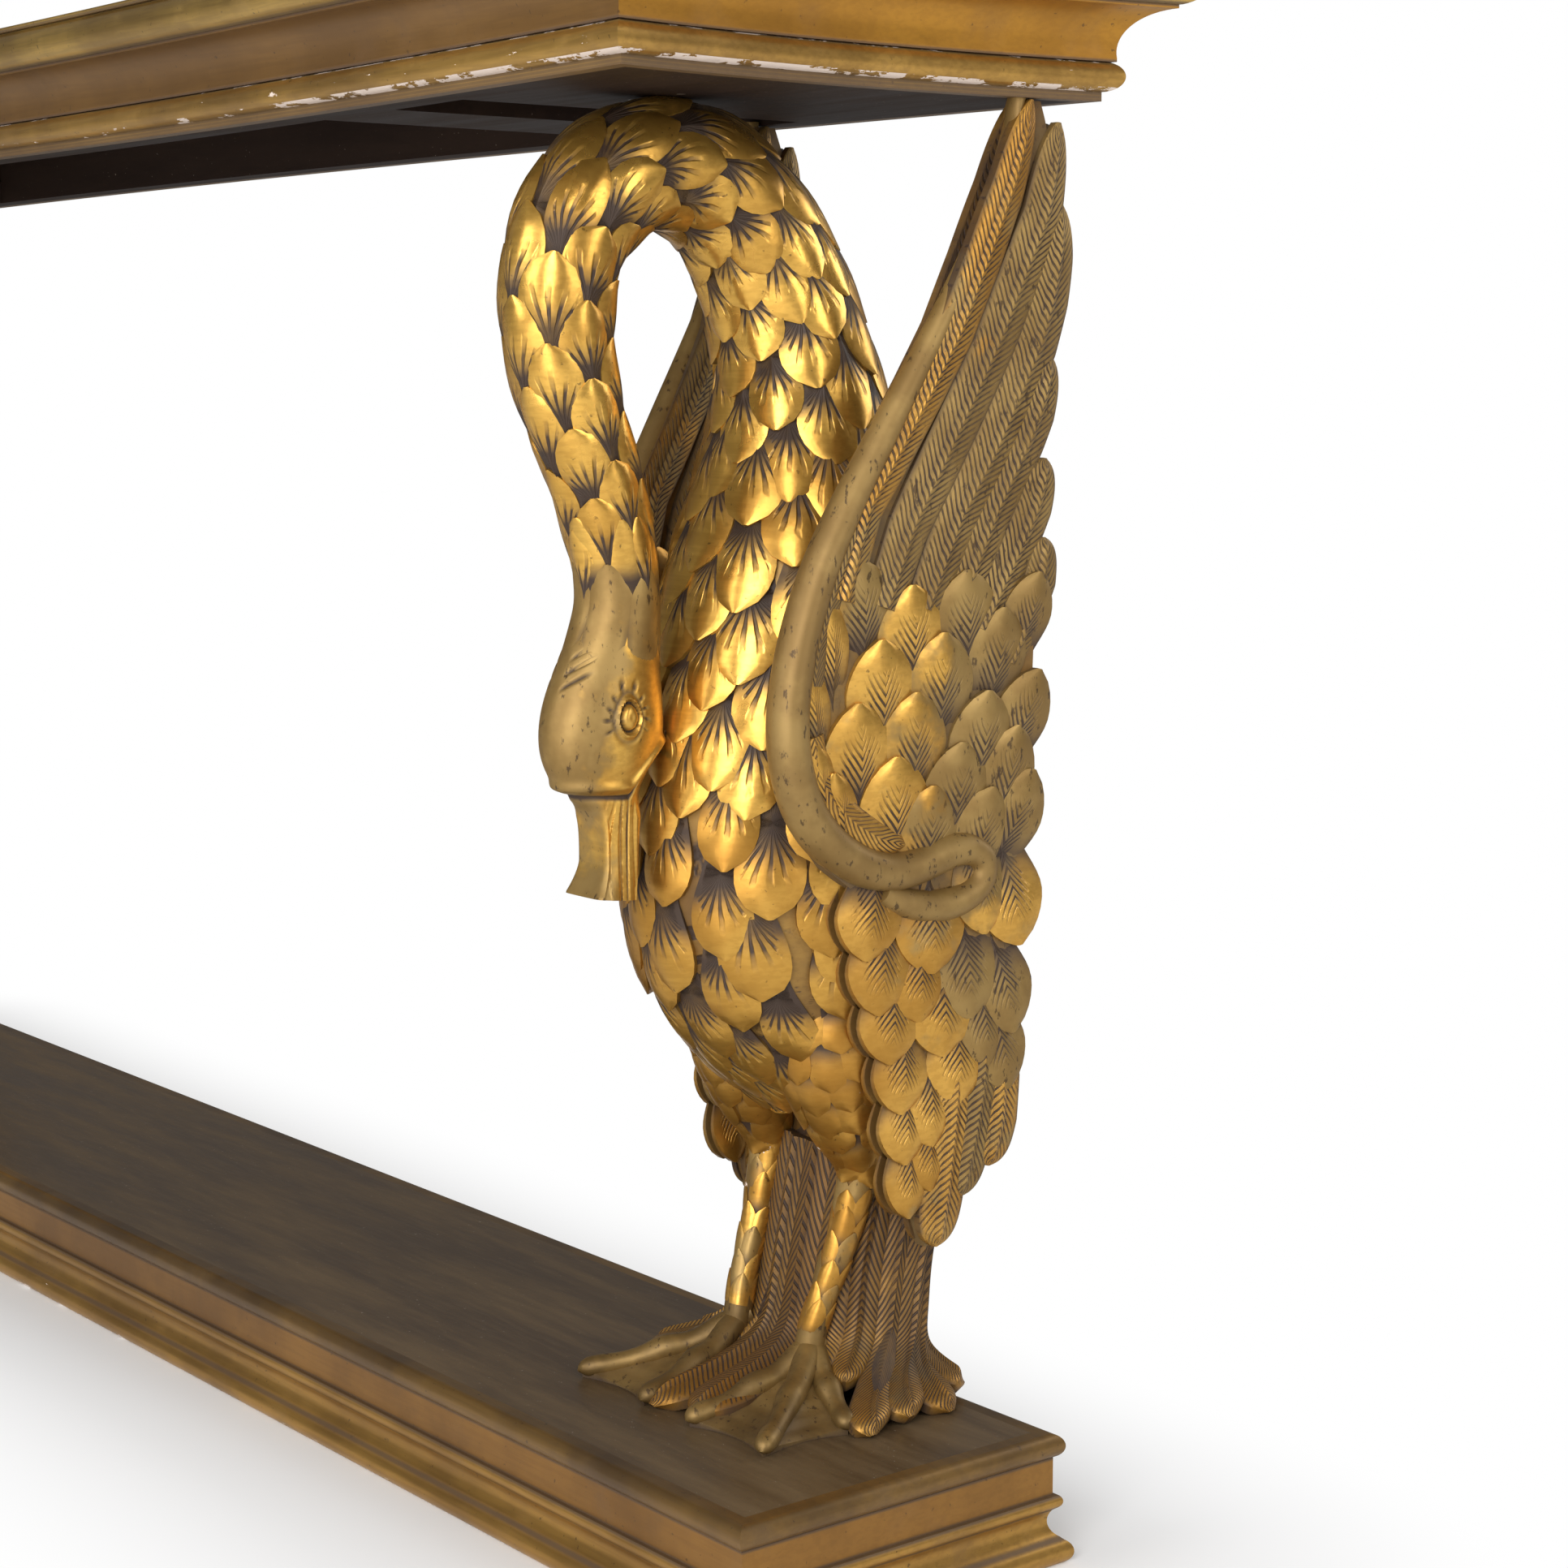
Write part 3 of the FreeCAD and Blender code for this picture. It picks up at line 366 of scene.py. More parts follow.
@dataclass(frozen=True)
class Feather:
    """One carved feather: a domed leaf with a pointed tip and walls that sink into the core."""

    cells: tuple[int, int] = (10, 6)
    root_share: float = 0.55
    widest_share: float = 0.55
    tip_share: float = 0.10
    point_power: float = 1.8
    dome: float = 2.6 * MM
    sink: float = 5.0 * MM
    shade: tuple[float, float] = (0.12, 0.62)
    shaft: float = 0.0
    shaft_width: float = 5.0 * MM

    def outline(self, t: Array) -> Array:
        """Shape of the leaf.

        Args:
            t: Places along it, 0 at the root.

        Returns:
            Half width there, as a share of the widest.
        """
        grow = self.root_share + (1 - self.root_share) * smoothstep(0, self.widest_share, t)
        past = np.clip((t - self.widest_share) / (1 - self.widest_share), 0, 1)
        close = np.maximum(1 - past**self.point_power, 0) ** 0.62
        return np.maximum(grow * close, self.tip_share * (t > 0.9))

    def leaf(self) -> Leaf:
        """Grid of the leaf, with the shade in its hollows."""
        rows, columns = self.cells
        t, q = np.meshgrid(np.linspace(0, 1, rows + 1), np.linspace(-1, 1, columns + 1), indexing="ij")
        t, q = t.ravel(), q.ravel()
        faces, rim = sheet_faces(rows, columns)
        wall = np.concatenate([np.zeros(len(t)), np.ones(len(rim))])
        t, q = np.concatenate([t, t[rim]]), np.concatenate([q, q[rim]])
        # painted shade towards the root, under the row above, deeper at the sides near the root where
        # neighbours meet, and on the sunken walls
        edge = 1 - 0.5 * smoothstep(0.8, 1.0, np.abs(q)) * (1 - smoothstep(0.3, 0.7, t))
        return Leaf(q, t, wall, faces, smoothstep(*self.shade, t) * (1 - wall) * edge + 0.35 * wall)

    def heights(self, leaf: Leaf, lift: Array, ridge: float) -> Array:
        """Height of every vertex over the skin.

        Args:
            leaf: This feather's leaf.
            lift: How high each feather's tip stands, one value per feather.
            ridge: Height of the shaft at the root.

        Returns:
            One row of heights per feather.
        """
        q, t = leaf.across, leaf.along
        dome = self.dome * (1 - q**2) * smoothstep(0.05, 0.5, t) * (1 - 0.55 * smoothstep(0.75, 1, t))
        shaft = ridge * np.exp(-((q / 0.16) ** 2)) * (1 - smoothstep(0.55, 0.9, t))
        groove = -0.35 * ridge * np.exp(-(((np.abs(q) - 0.42) / 0.18) ** 2)) * (1 - smoothstep(0.4, 0.75, t))
        top = (lift[:, None] * (t - 0.28)[None, :] * 1.3) + (dome + shaft + groove)[None, :]
        return np.where(leaf.wall[None, :] > 0, np.minimum(top, 0) - self.sink, top)

    def rodded(self, leaf: Leaf, lift: float, width: float) -> tuple[Array, Array]:
        """Heights of a long feather with a rod for its shaft.

        Args:
            leaf: This feather's leaf.
            lift: How high the tip stands.
            width: Width of the feather.

        Returns:
            Heights, and cavity tones: painted shade in the gullies beside the rod, along the edges and on the
                walls.
        """
        q, t, wall = leaf.across, leaf.along, leaf.wall
        across = np.abs(q) * width
        rod = self.shaft * np.sqrt(np.clip(1 - (across / self.shaft_width) ** 2, 0, 1))
        dome = self.dome * (1 - q**2) ** 0.8 * (1 - 0.6 * smoothstep(0.93, 1, t))
        top = lift * (t - 0.15) + dome + rod * (1 - smoothstep(0.9, 0.99, t))
        # painted shade in the gullies beside the rod and along the edges, and on the walls
        gully = np.exp(-(((across - 1.25 * self.shaft_width) / (0.3 * self.shaft_width)) ** 2))
        tone = 1 - 0.35 * gully - 0.75 * smoothstep(0.78, 1.0, np.abs(q)) * (1 - smoothstep(0.9, 0.97, t))
        tone = np.clip(tone, 0, 1) * (1 - wall) + 0.2 * wall
        return np.where(wall > 0, np.minimum(top, 0) - self.sink, top), tone

    def lay_on(self, carving: Carving, skin: TubeSkin, roots: Array, sizes: Array, paint: Array,
               rng: np.random.Generator, ridge: float = 1.2 * MM) -> None:
        """Lay feathers on a tube, tips towards its start.

        Args:
            carving: Where the feathers go.
            skin: The tube.
            roots: Turn and place of each root.
            sizes: Width, length and lift of each feather in metres.
            paint: Paint share of each feather.
            rng: Seeded random source.
            ridge: Height of the shaft.
        """
        leaf = self.leaf()
        width, length, lift = sizes[:, :1], sizes[:, 1:2], sizes[:, 2]
        marks = np.linspace(0, 1, 13)
        walked = [roots[:, 1]]
        for _ in marks[1:]:
            _, speed = skin.facing(roots[:, 0], np.clip(walked[-1], 0.001, 0.999))
            walked.append(walked[-1] - length[:, 0] / (len(marks) - 1) / speed)
        v = np.stack([np.interp(leaf.along, marks, way) for way in np.stack(walked, axis=1)])
        flat_v = np.clip(v, 0.0005, 0.9995).ravel()
        girth = skin.girth(flat_v).reshape(v.shape)
        u = roots[:, :1] + leaf.across[None, :] * self.outline(leaf.along)[None, :] * width / 2 / girth
        rise = self.heights(leaf, lift, ridge)
        normal, _ = skin.facing(u.ravel(), flat_v)
        points = skin.at(u.ravel(), flat_v) + normal * rise.ravel()[:, None]
        carving.add_feathers(leaf, points, leaf.cavity, paint, rng)


# Node helpers


@dataclass(frozen=True)
class Value:
    """What a node puts out, worked with by Python's own signs."""

    graph: "Graph"
    socket: bpy.types.NodeSocket

    def __add__(self, other: "Value | float") -> "Value":
        """Sum."""
        return self.graph.math("ADD", self, other)

    def __radd__(self, other: float) -> "Value":
        """Sum with a plain number in front."""
        return self.graph.math("ADD", other, self)

    def __sub__(self, other: "Value | float") -> "Value":
        """Difference."""
        return self.graph.math("SUBTRACT", self, other)

    def __rsub__(self, other: float) -> "Value":
        """Difference from a plain number."""
        return self.graph.math("SUBTRACT", other, self)

    def __mul__(self, other: "Value | float") -> "Value":
        """Product."""
        return self.graph.math("MULTIPLY", self, other)

    def __truediv__(self, other: "Value | float") -> "Value":
        """Quotient."""
        return self.graph.math("DIVIDE", self, other)

    def __abs__(self) -> "Value":
        """Value without its sign."""
        return self.graph.math("ABSOLUTE", self)

    def held(self) -> "Value":
        """The same value, held between 0 and 1."""
        self.socket.node.use_clamp = True
        return self


@dataclass(frozen=True)
class Graph:
    """Short calls for wiring a node tree."""

    tree: bpy.types.NodeTree

    def node(self, kind: str, inputs: dict | None = None, **settings: object) -> bpy.types.Node:
        """Add a node.

        Args:
            kind: Blender's node type.
            inputs: Socket name or number to a plain value or another node's.
            settings: Properties of the node.

        Returns:
            The node.
        """
        node = self.tree.nodes.new(kind)
        for name, value in settings.items():
            setattr(node, name, value)
        for name, value in (inputs or {}).items():
            if isinstance(value, Value):
                self.link(value, node, name)
            else:
                node.inputs[name].default_value = value
        return node

    def out(self, kind: str, inputs: dict | None = None, output: int | str = 0, **settings: object) -> Value:
        """Add a node and take one of its outputs.

        Args:
            kind: Blender's node type.
            inputs: Socket name or number to a plain value or another node's.
            output: Number or name of the output.
            settings: Properties of the node.

        Returns:
            The output's value.
        """
        return Value(self, self.node(kind, inputs, **settings).outputs[output])

    def link(self, value: Value, node: bpy.types.Node, name: int | str) -> None:
        """Feed one input of a node."""
        self.tree.links.new(value.socket, node.inputs[name])

    def math(self, operation: str, a: Value | float, b: Value | float = 0.0) -> Value:
        """Result of a Math node."""
        return self.out("ShaderNodeMath", {0: a, 1: b}, operation=operation)

    def larger(self, a: Value | float, b: Value | float) -> Value:
        """The larger of two values."""
        return self.math("MAXIMUM", a, b)

    def parts(self, kind: str, value: Value) -> list[Value]:
        """The three numbers of a colour or a place."""
        return [Value(self, socket) for socket in self.node(kind, {0: value}).outputs[:3]]

    def mix(self, factor: Value, a: Value | Color, b: Value | Color) -> Value:
        """Blend of two colours."""
        ends = {i: end if isinstance(end, Value) else (*end, 1) for i, end in ((6, a), (7, b))}
        return self.out("ShaderNodeMix", {0: factor, **ends}, 2, data_type="RGBA")

    def ramp(self, value: Value, low: Value | float, high: Value | float) -> Value:
        """Value eased from 0 at low to 1 at high."""
        return self.out("ShaderNodeMapRange", {0: value, 1: low, 2: high}, interpolation_type="SMOOTHSTEP")

    def noise(self, place: Value, scale: Value | float, detail: float = 3.0, rough: float = 0.55) -> Value:
        """Value of a Noise node."""
        inputs = {"Vector": place, "Scale": scale, "Detail": detail, "Roughness": rough}
        return self.out("ShaderNodeTexNoise", inputs)

    def stretched(self, place: Value, scale: tuple[float, float, float]) -> Value:
        """Coordinates scaled by axis."""
        return self.out("ShaderNodeMapping", {"Vector": place, "Scale": scale})

    def bump(self, shader: bpy.types.Node, height: Value, strength: float, distance: float) -> None:
        """Ruffle a shader's normal by a height."""
        inputs = {"Strength": strength, "Distance": distance, "Height": height}
        self.link(self.out("ShaderNodeBump", inputs), shader, "Normal")


def group(name: str, inputs: dict[str, tuple[str, float | Color]], outputs: dict[str, str],
          wire: Callable[[Graph, dict[str, Value]], dict[str, Value]]) -> bpy.types.NodeTree:
    """Make a shader node group.

    Args:
        name: Group name.
        inputs: Socket name to its kind and default.
        outputs: Socket name to its kind.
        wire: Function that wires the group, from its inputs' values to its outputs'.

    Returns:
        The group.
    """
    tree = bpy.data.node_groups.new(name, "ShaderNodeTree")
    for label, (kind, default) in inputs.items():
        socket = tree.interface.new_socket(label, in_out="INPUT", socket_type=kind)
        if kind != "NodeSocketVector":
            socket.default_value = (*default, 1) if kind == "NodeSocketColor" else default
    for label, kind in outputs.items():
        tree.interface.new_socket(label, in_out="OUTPUT", socket_type=kind)
    graph = Graph(tree)
    entry, leave = graph.node("NodeGroupInput"), graph.node("NodeGroupOutput")
    given = {label: Value(graph, entry.outputs[label]) for label in inputs}
    for label, value in wire(graph, given).items():
        graph.link(value, leave, label)
    return tree


def wire_patina(graph: Graph, given: dict[str, Value]) -> dict[str, Value]:
    """Wire gold rubbed to brown in drifts, with darker specks.

    Args:
        graph: The group's graph.
        given: Its inputs' values.

    Returns:
        Its outputs' values.
    """
    place, gold, brown = given["Place"], given["Gold"], given["Brown"]
    drift = graph.ramp(graph.noise(place, 9.0, 4.0), 0.36, 0.66)
    brushed = graph.ramp(graph.noise(graph.stretched(place, (3.0, 30.0, 60.0)), 6.0, 2.0), 0.4, 0.62)
    tone = graph.mix((drift * given["Drift"]).held(), gold, brown)
    tone = graph.mix(brushed * 0.22, tone, brown)
    specks = graph.ramp(graph.noise(place, 260.0, 2.0), 0.68, 0.76)
    return {"Color": graph.mix(specks * 0.6, tone, (0.05, 0.03, 0.02)), "Worn": drift}


def wire_chips(graph: Graph, given: dict[str, Value]) -> dict[str, Value]:
    """Wire ragged losses where the gilding has come away to the white ground.

    Args:
        graph: The group's graph.
        given: Its inputs' values.

    Returns:
        Its outputs' values.
    """
    coarse = graph.noise(given["Place"], given["Scale"], 5.0, 0.7)
    drift = graph.ramp(graph.noise(given["Place"], 7.0, 2.0), 0.42, 0.66)
    return {"Mask": graph.math("GREATER_THAN", coarse * 0.8 + drift * 0.16, 0.86 - given["Amount"] * 0.3)}


PATINA = group("rubbed_gilding", {
    "Place": ("NodeSocketVector", 0.0), "Gold": ("NodeSocketColor", (0.8, 0.5, 0.15)),
    "Brown": ("NodeSocketColor", (0.3, 0.17, 0.05)), "Drift": ("NodeSocketFloat", 0.6),
}, {"Color": "NodeSocketColor", "Worn": "NodeSocketFloat"}, wire_patina)
CHIPS = group("gesso_losses", {
    "Place": ("NodeSocketVector", 0.0), "Scale": ("NodeSocketFloat", 60.0),
    "Amount": ("NodeSocketFloat", 0.5),
}, {"Mask": "NodeSocketFloat"}, wire_chips)


@dataclass(frozen=True)
class Finish:
    """What the finishes share: a name, colours and gloss."""

    name: str
    color: Color
    second: Color
    roughness: float = 0.4
    metallic: float = 0.85

    def start(self) -> tuple[bpy.types.Material, Graph, bpy.types.Node, Value]:
        """Make an empty material.

        Returns:
            The material, its graph, its Principled shader and its object coordinates.
        """
        material = bpy.data.materials.new(self.name)
        material.use_nodes = True
        graph = Graph(material.node_tree)
        shader = material.node_tree.nodes["Principled BSDF"]
        shader.inputs["Roughness"].default_value = self.roughness
        shader.inputs["Metallic"].default_value = self.metallic
        return material, graph, shader, graph.out("ShaderNodeTexCoord", output="Object")

    def patina(self, graph: Graph, place: Value, drift: float) -> tuple[Value, Value]:
        """Rubbed gilding in the finish's two colours.

        Args:
            graph: The material's graph.
            place: Object coordinates.
            drift: How far the second colour spreads.

        Returns:
            Colour, and how worn it is.
        """
        inputs = {"Place": place, "Gold": (*self.color, 1), "Brown": (*self.second, 1), "Drift": drift}
        made = graph.node("ShaderNodeGroup", inputs, node_tree=PATINA)
        return Value(graph, made.outputs["Color"]), Value(graph, made.outputs["Worn"])

    def losses(self, graph: Graph, place: Value, scale: float, amount: float) -> Value:
        """Mask of the gesso losses."""
        inputs = {"Place": place, "Scale": scale, "Amount": amount}
        return graph.out("ShaderNodeGroup", inputs, node_tree=CHIPS)


@dataclass(frozen=True)
class CarvedGilt(Finish):
    """Leaf over carving: bright tips, painted shade and umber grime in the hollows and cuts, incised barbs
    and small losses.
    """

    barbs: float = 13.0
    slant: float = 1.1
    stroke: tuple[float, float] = (0.1, 0.85)
    fade: tuple[float, float] = (0.46, 0.76)
    edge: tuple[float, float] = (0.42, 0.58)
    cut: Cut = Cut.FAN
    chips: float = 0.35
    drift: float = 0.75
    paint: Color = (0.235, 0.140, 0.040)
    pale: Color = (0.33, 0.210, 0.066)
    # dark of the painted shade and grime in the hollows and cuts, and of the paint's flecks
    umber: Color = (0.040, 0.021, 0.011)
    gesso: Color = (0.72, 0.62, 0.54)

    def strokes(self, graph: Graph, place: Value) -> Value:
        """Dark strokes at the root of a feather, fanned out or slanting off its shaft.

        Args:
            graph: The material's graph.
            place: Object coordinates.

        Returns:
            Mask of the strokes.
        """
        across, along, _ = graph.parts("ShaderNodeSeparateXYZ", graph.out("ShaderNodeUVMap", uv_map="lie"))
        off = across - 0.5
        wobble = graph.noise(place, 55.0, 2.0) * 2.4
        turned = off / (along - 0.2) if self.cut is Cut.FAN else along - abs(off) * self.slant
        wave = graph.math("SINE", turned * self.barbs + wobble)
        fray = graph.noise(place, 150.0, 2.0) * 0.34
        keep = 1.0 - graph.ramp(abs(off) + fray, *self.edge)
        if self.cut is Cut.BARB:
            keep = keep * (graph.noise(place, 60.0, 2.0) + 0.35)
        else:
            reach = graph.noise(place, 120.0, 1.0) * 0.32 + (self.fade[1] - 0.16)
            keep = keep * (1.0 - graph.ramp(along, self.fade[0], reach))
        return (graph.ramp(wave, *self.stroke) * keep).held()

    def painted(self, graph: Graph, place: Value, share: Value, gold: Value) -> tuple[Value, Value]:
        """Bronze paint, rubbed and flecked, over the leaf.

        Args:
            graph: The material's graph.
            place: Object coordinates.
            share: How much of the paint there is.
            gold: Colour of the leaf.

        Returns:
            Colour, and mask of the paint.
        """
        rubbed = graph.noise(place, 26.0, 4.0, 0.6)
        paint = graph.mix(graph.ramp(rubbed, 0.38, 0.66), self.paint, self.pale)
        flecks = graph.noise(graph.stretched(place, (1.0, 1.0, 0.45)), 230.0, 3.0, 0.65)
        paint = graph.mix(graph.ramp(flecks, 0.60, 0.68) * 0.75, paint, self.umber)
        mask = graph.ramp(share + (rubbed - 0.5) * 1.1, 0.38, 0.58)
        return graph.mix(mask, gold, paint), mask

    def make(self) -> bpy.types.Material:
        """Wire the material."""
        material, graph, shader, place = self.start()
        tone = graph.out("ShaderNodeAttribute", output="Color", attribute_name="tone")
        height, chance, share = graph.parts("ShaderNodeSeparateColor", tone)
        leaf, worn = self.patina(graph, place, self.drift)
        cuts = 0.0 if self.cut is Cut.NONE else self.strokes(graph, place)
        # painted shade where the tone is low, in the hollows and under the feather tips, with umber grime in
        # the cut strokes, made patchy by noise
        grime_and_shade = ((1.0 - height).held() * 1.05 + cuts * 0.95).held()
        grime_and_shade = (grime_and_shade * (graph.noise(place, 40.0, 3.0) * 0.8 + 0.62)).held()
        gold = graph.mix(graph.ramp(chance, 0.55, 1.0) * 0.5, leaf, self.second)
        surface, paint = self.painted(graph, place, share, gold)
        chips = self.losses(graph, place, 90.0, self.chips)
        surface = graph.mix(chips, graph.mix(grime_and_shade, surface, self.umber), self.gesso)
        graph.link(surface, shader, "Base Color")
        # the painted shade and the gesso losses lose their metal shine and turn rougher
        dulled = graph.larger(chips, grime_and_shade * 0.8)
        metal = self.metallic - dulled * self.metallic - paint * 0.22
        graph.link(metal.held(), shader, "Metallic")
        graph.link(self.roughness + dulled * 0.35 + paint * 0.1 + worn * 0.1, shader, "Roughness")
        graph.bump(shader, graph.noise(place, 90.0, 3.0) * 0.25 - cuts, 0.7, 1.3 * MM)
        return material


@dataclass(frozen=True)
class Moulding(Finish):
    """Gilded or bronzed moulding with painted shade and dirt in its quirks at set heights, and chipped edges.
    """

    dark_heights: tuple[float, ...] = ()
    chip_heights: tuple[tuple[float, float, float], ...] = ()
    drift: float = 0.5
    # dark of the dirt and of the painted shade in the quirks
    umber: Color = (0.06, 0.035, 0.02)
    gesso: Color = (0.66, 0.55, 0.47)

    def quirks(self, graph: Graph, place: Value, height: Value) -> Value:
        """Dirt patches, and painted shade in the moulding's quirks.

        Args:
            graph: The material's graph.
            place: Object coordinates.
            height: Height over the floor.

        Returns:
            Mask of the dirt and of the painted shade.
        """
        grime_and_shade = graph.ramp(graph.noise(place, 24.0, 4.0), 0.5, 0.8) * 0.35
        # dark lines at the quirks' heights: painted shade in the grooves
        for level in self.dark_heights:
            line = 1.0 - graph.ramp(abs(height - level), 0.4 * MM, 2.2 * MM)
            grime_and_shade = graph.larger(grime_and_shade, line * 0.85)
        return grime_and_shade

    def chipped(self, graph: Graph, place: Value, height: Value) -> Value | None:
        """Losses along the moulding's edges.

        Args:
            graph: The material's graph.
            place: Object coordinates.
            height: Height over the floor.

        Returns:
            Mask of the losses, or None where no edge is chipped.
        """
        mask = None
        for low, high, amount in self.chip_heights:
            chips = self.losses(graph, graph.stretched(place, (0.22, 0.22, 1.0)), 150.0, amount)
            inside = graph.math("GREATER_THAN", height, low) * graph.math("LESS_THAN", height, high)
            mask = chips * inside if mask is None else graph.larger(mask, chips * inside)
        return mask

    def make(self) -> bpy.types.Material:
        """Wire the material."""
        material, graph, shader, place = self.start()
        _, _, height = graph.parts("ShaderNodeSeparateXYZ", place)
        gold, _ = self.patina(graph, place, self.drift)
        grime_and_shade = dulled = self.quirks(graph, place, height)
        # the quirks' painted shade and the dirt darken the gilding to umber
        surface = graph.mix(grime_and_shade, gold, self.umber)
        rise = graph.noise(place, 55.0, 5.0) * 0.6
        mask = self.chipped(graph, place, height)
        if mask is not None:
            surface = graph.mix(mask, surface, self.gesso)
            dulled = graph.larger(grime_and_shade, mask)
            rise = rise - mask
        graph.link(surface, shader, "Base Color")
        graph.link((self.metallic - dulled * self.metallic).held(), shader, "Metallic")
        graph.link(self.roughness + dulled * 0.3, shader, "Roughness")
        graph.bump(shader, rise, 0.35, 0.7 * MM)
        return material


@dataclass(frozen=True)
class DarkBoard(Finish):
    """Dark painted or stained boards with hazy streaks and dust."""

    haze: float = 0.5
    gloss: float = 0.35
    streak: tuple[float, float, float] = (2.0, 14.0, 14.0)
    grain: tuple[float, float, float] = (12.0, 90.0, 90.0)
    dust: Color = (0.5, 0.42, 0.34)

    def make(self) -> bpy.types.Material:
        """Wire the material."""
        material, graph, shader, place = self.start()
        shader.inputs["Specular IOR Level"].default_value = self.gloss
        cloud = graph.ramp(graph.noise(graph.stretched(place, self.streak), 2.2, 5.0, 0.6), 0.35, 0.75)
        fine = graph.ramp(graph.noise(graph.stretched(place, self.grain), 3.0, 3.0), 0.4, 0.7)
        surface = graph.mix(cloud * self.haze, self.color, self.second)
        surface = graph.mix(fine * 0.12, surface, self.second)
        specks = graph.ramp(graph.noise(place, 420.0, 1.0), 0.76, 0.8)
        graph.link(graph.mix(specks * 0.35, surface, self.dust), shader, "Base Color")
        graph.link(self.roughness + cloud * 0.16, shader, "Roughness")
        graph.bump(shader, fine, 0.15, 0.3 * MM)
        return material


@dataclass(frozen=True)
class VeinedMarble(Finish):
    """Polished dark marble with pale branching veins, each set given by scale, width and strength."""

    vein: Color = (0.55, 0.45, 0.34)
    gloss: float = 0.3
    veins: tuple[tuple[float, float, float], ...] = ((3.0, 0.02, 0.8), (9.0, 0.03, 0.45))

    def make(self) -> bpy.types.Material:
        """Wire the material."""
        material, graph, shader, place = self.start()
        shader.inputs["Specular IOR Level"].default_value = self.gloss
        warp = graph.out("ShaderNodeTexNoise", {"Vector": place, "Scale": 3.0, "Detail": 5.0}, "Color")
        warp = graph.out("ShaderNodeVectorMath", {0: warp, 3: 0.5}, operation="SCALE")
        bent = graph.out("ShaderNodeVectorMath", {0: place, 1: warp}, operation="ADD")
        cloud = graph.ramp(graph.noise(bent, 6.0, 6.0), 0.35, 0.7)
        surface = graph.mix(cloud, self.color, self.second)
        for scale, width, strength in self.veins:
            inputs = {"Vector": bent, "Scale": scale}
            crack = graph.out("ShaderNodeTexVoronoi", inputs, feature="DISTANCE_TO_EDGE")
            line = 1.0 - graph.ramp(crack, 0.0, width)
            line = line * graph.ramp(graph.noise(place, 5.0, 2.0), 0.4, 0.65)
            surface = graph.mix(line * strength, surface, self.vein)
        graph.link(surface, shader, "Base Color")
        graph.link(self.roughness + cloud * 0.06, shader, "Roughness")
        return material


# The swans


@dataclass(frozen=True)
class WingPlane:
    """Leaning plane of one wing, in millimetres on the swan's own frame."""

    side: Side
    spread: float = 85.0
    lean: float = 0.05
    sweep: float = 0.08
    middle: float = 400.0

    def at(self, y: Array, z: Array, lift: Array, face: int) -> Array:
        """Points in metres over the outer (1) or the inner (-1) face.

        Args:
            y: Places front to back, in millimetres.
            z: Heights, in millimetres.
            lift: How far off the middle plane, in metres.
            face: 1 for the outer face and -1 for the inner.

        Returns:
            One row per point.
        """
        out = (self.spread + self.lean * (z - self.middle) + self.sweep * y) * MM + face * lift
        return np.stack([self.side.value * out, y * MM, z * MM], axis=-1)


@dataclass(frozen=True)
class Plume:
    """One wing feather: its axis from root to tip as places and heights, width and lift, in millimetres."""

    axis: tuple[tuple[float, float], ...]
    width: float
    lift: float = 4.0
    layer: float = 0.0


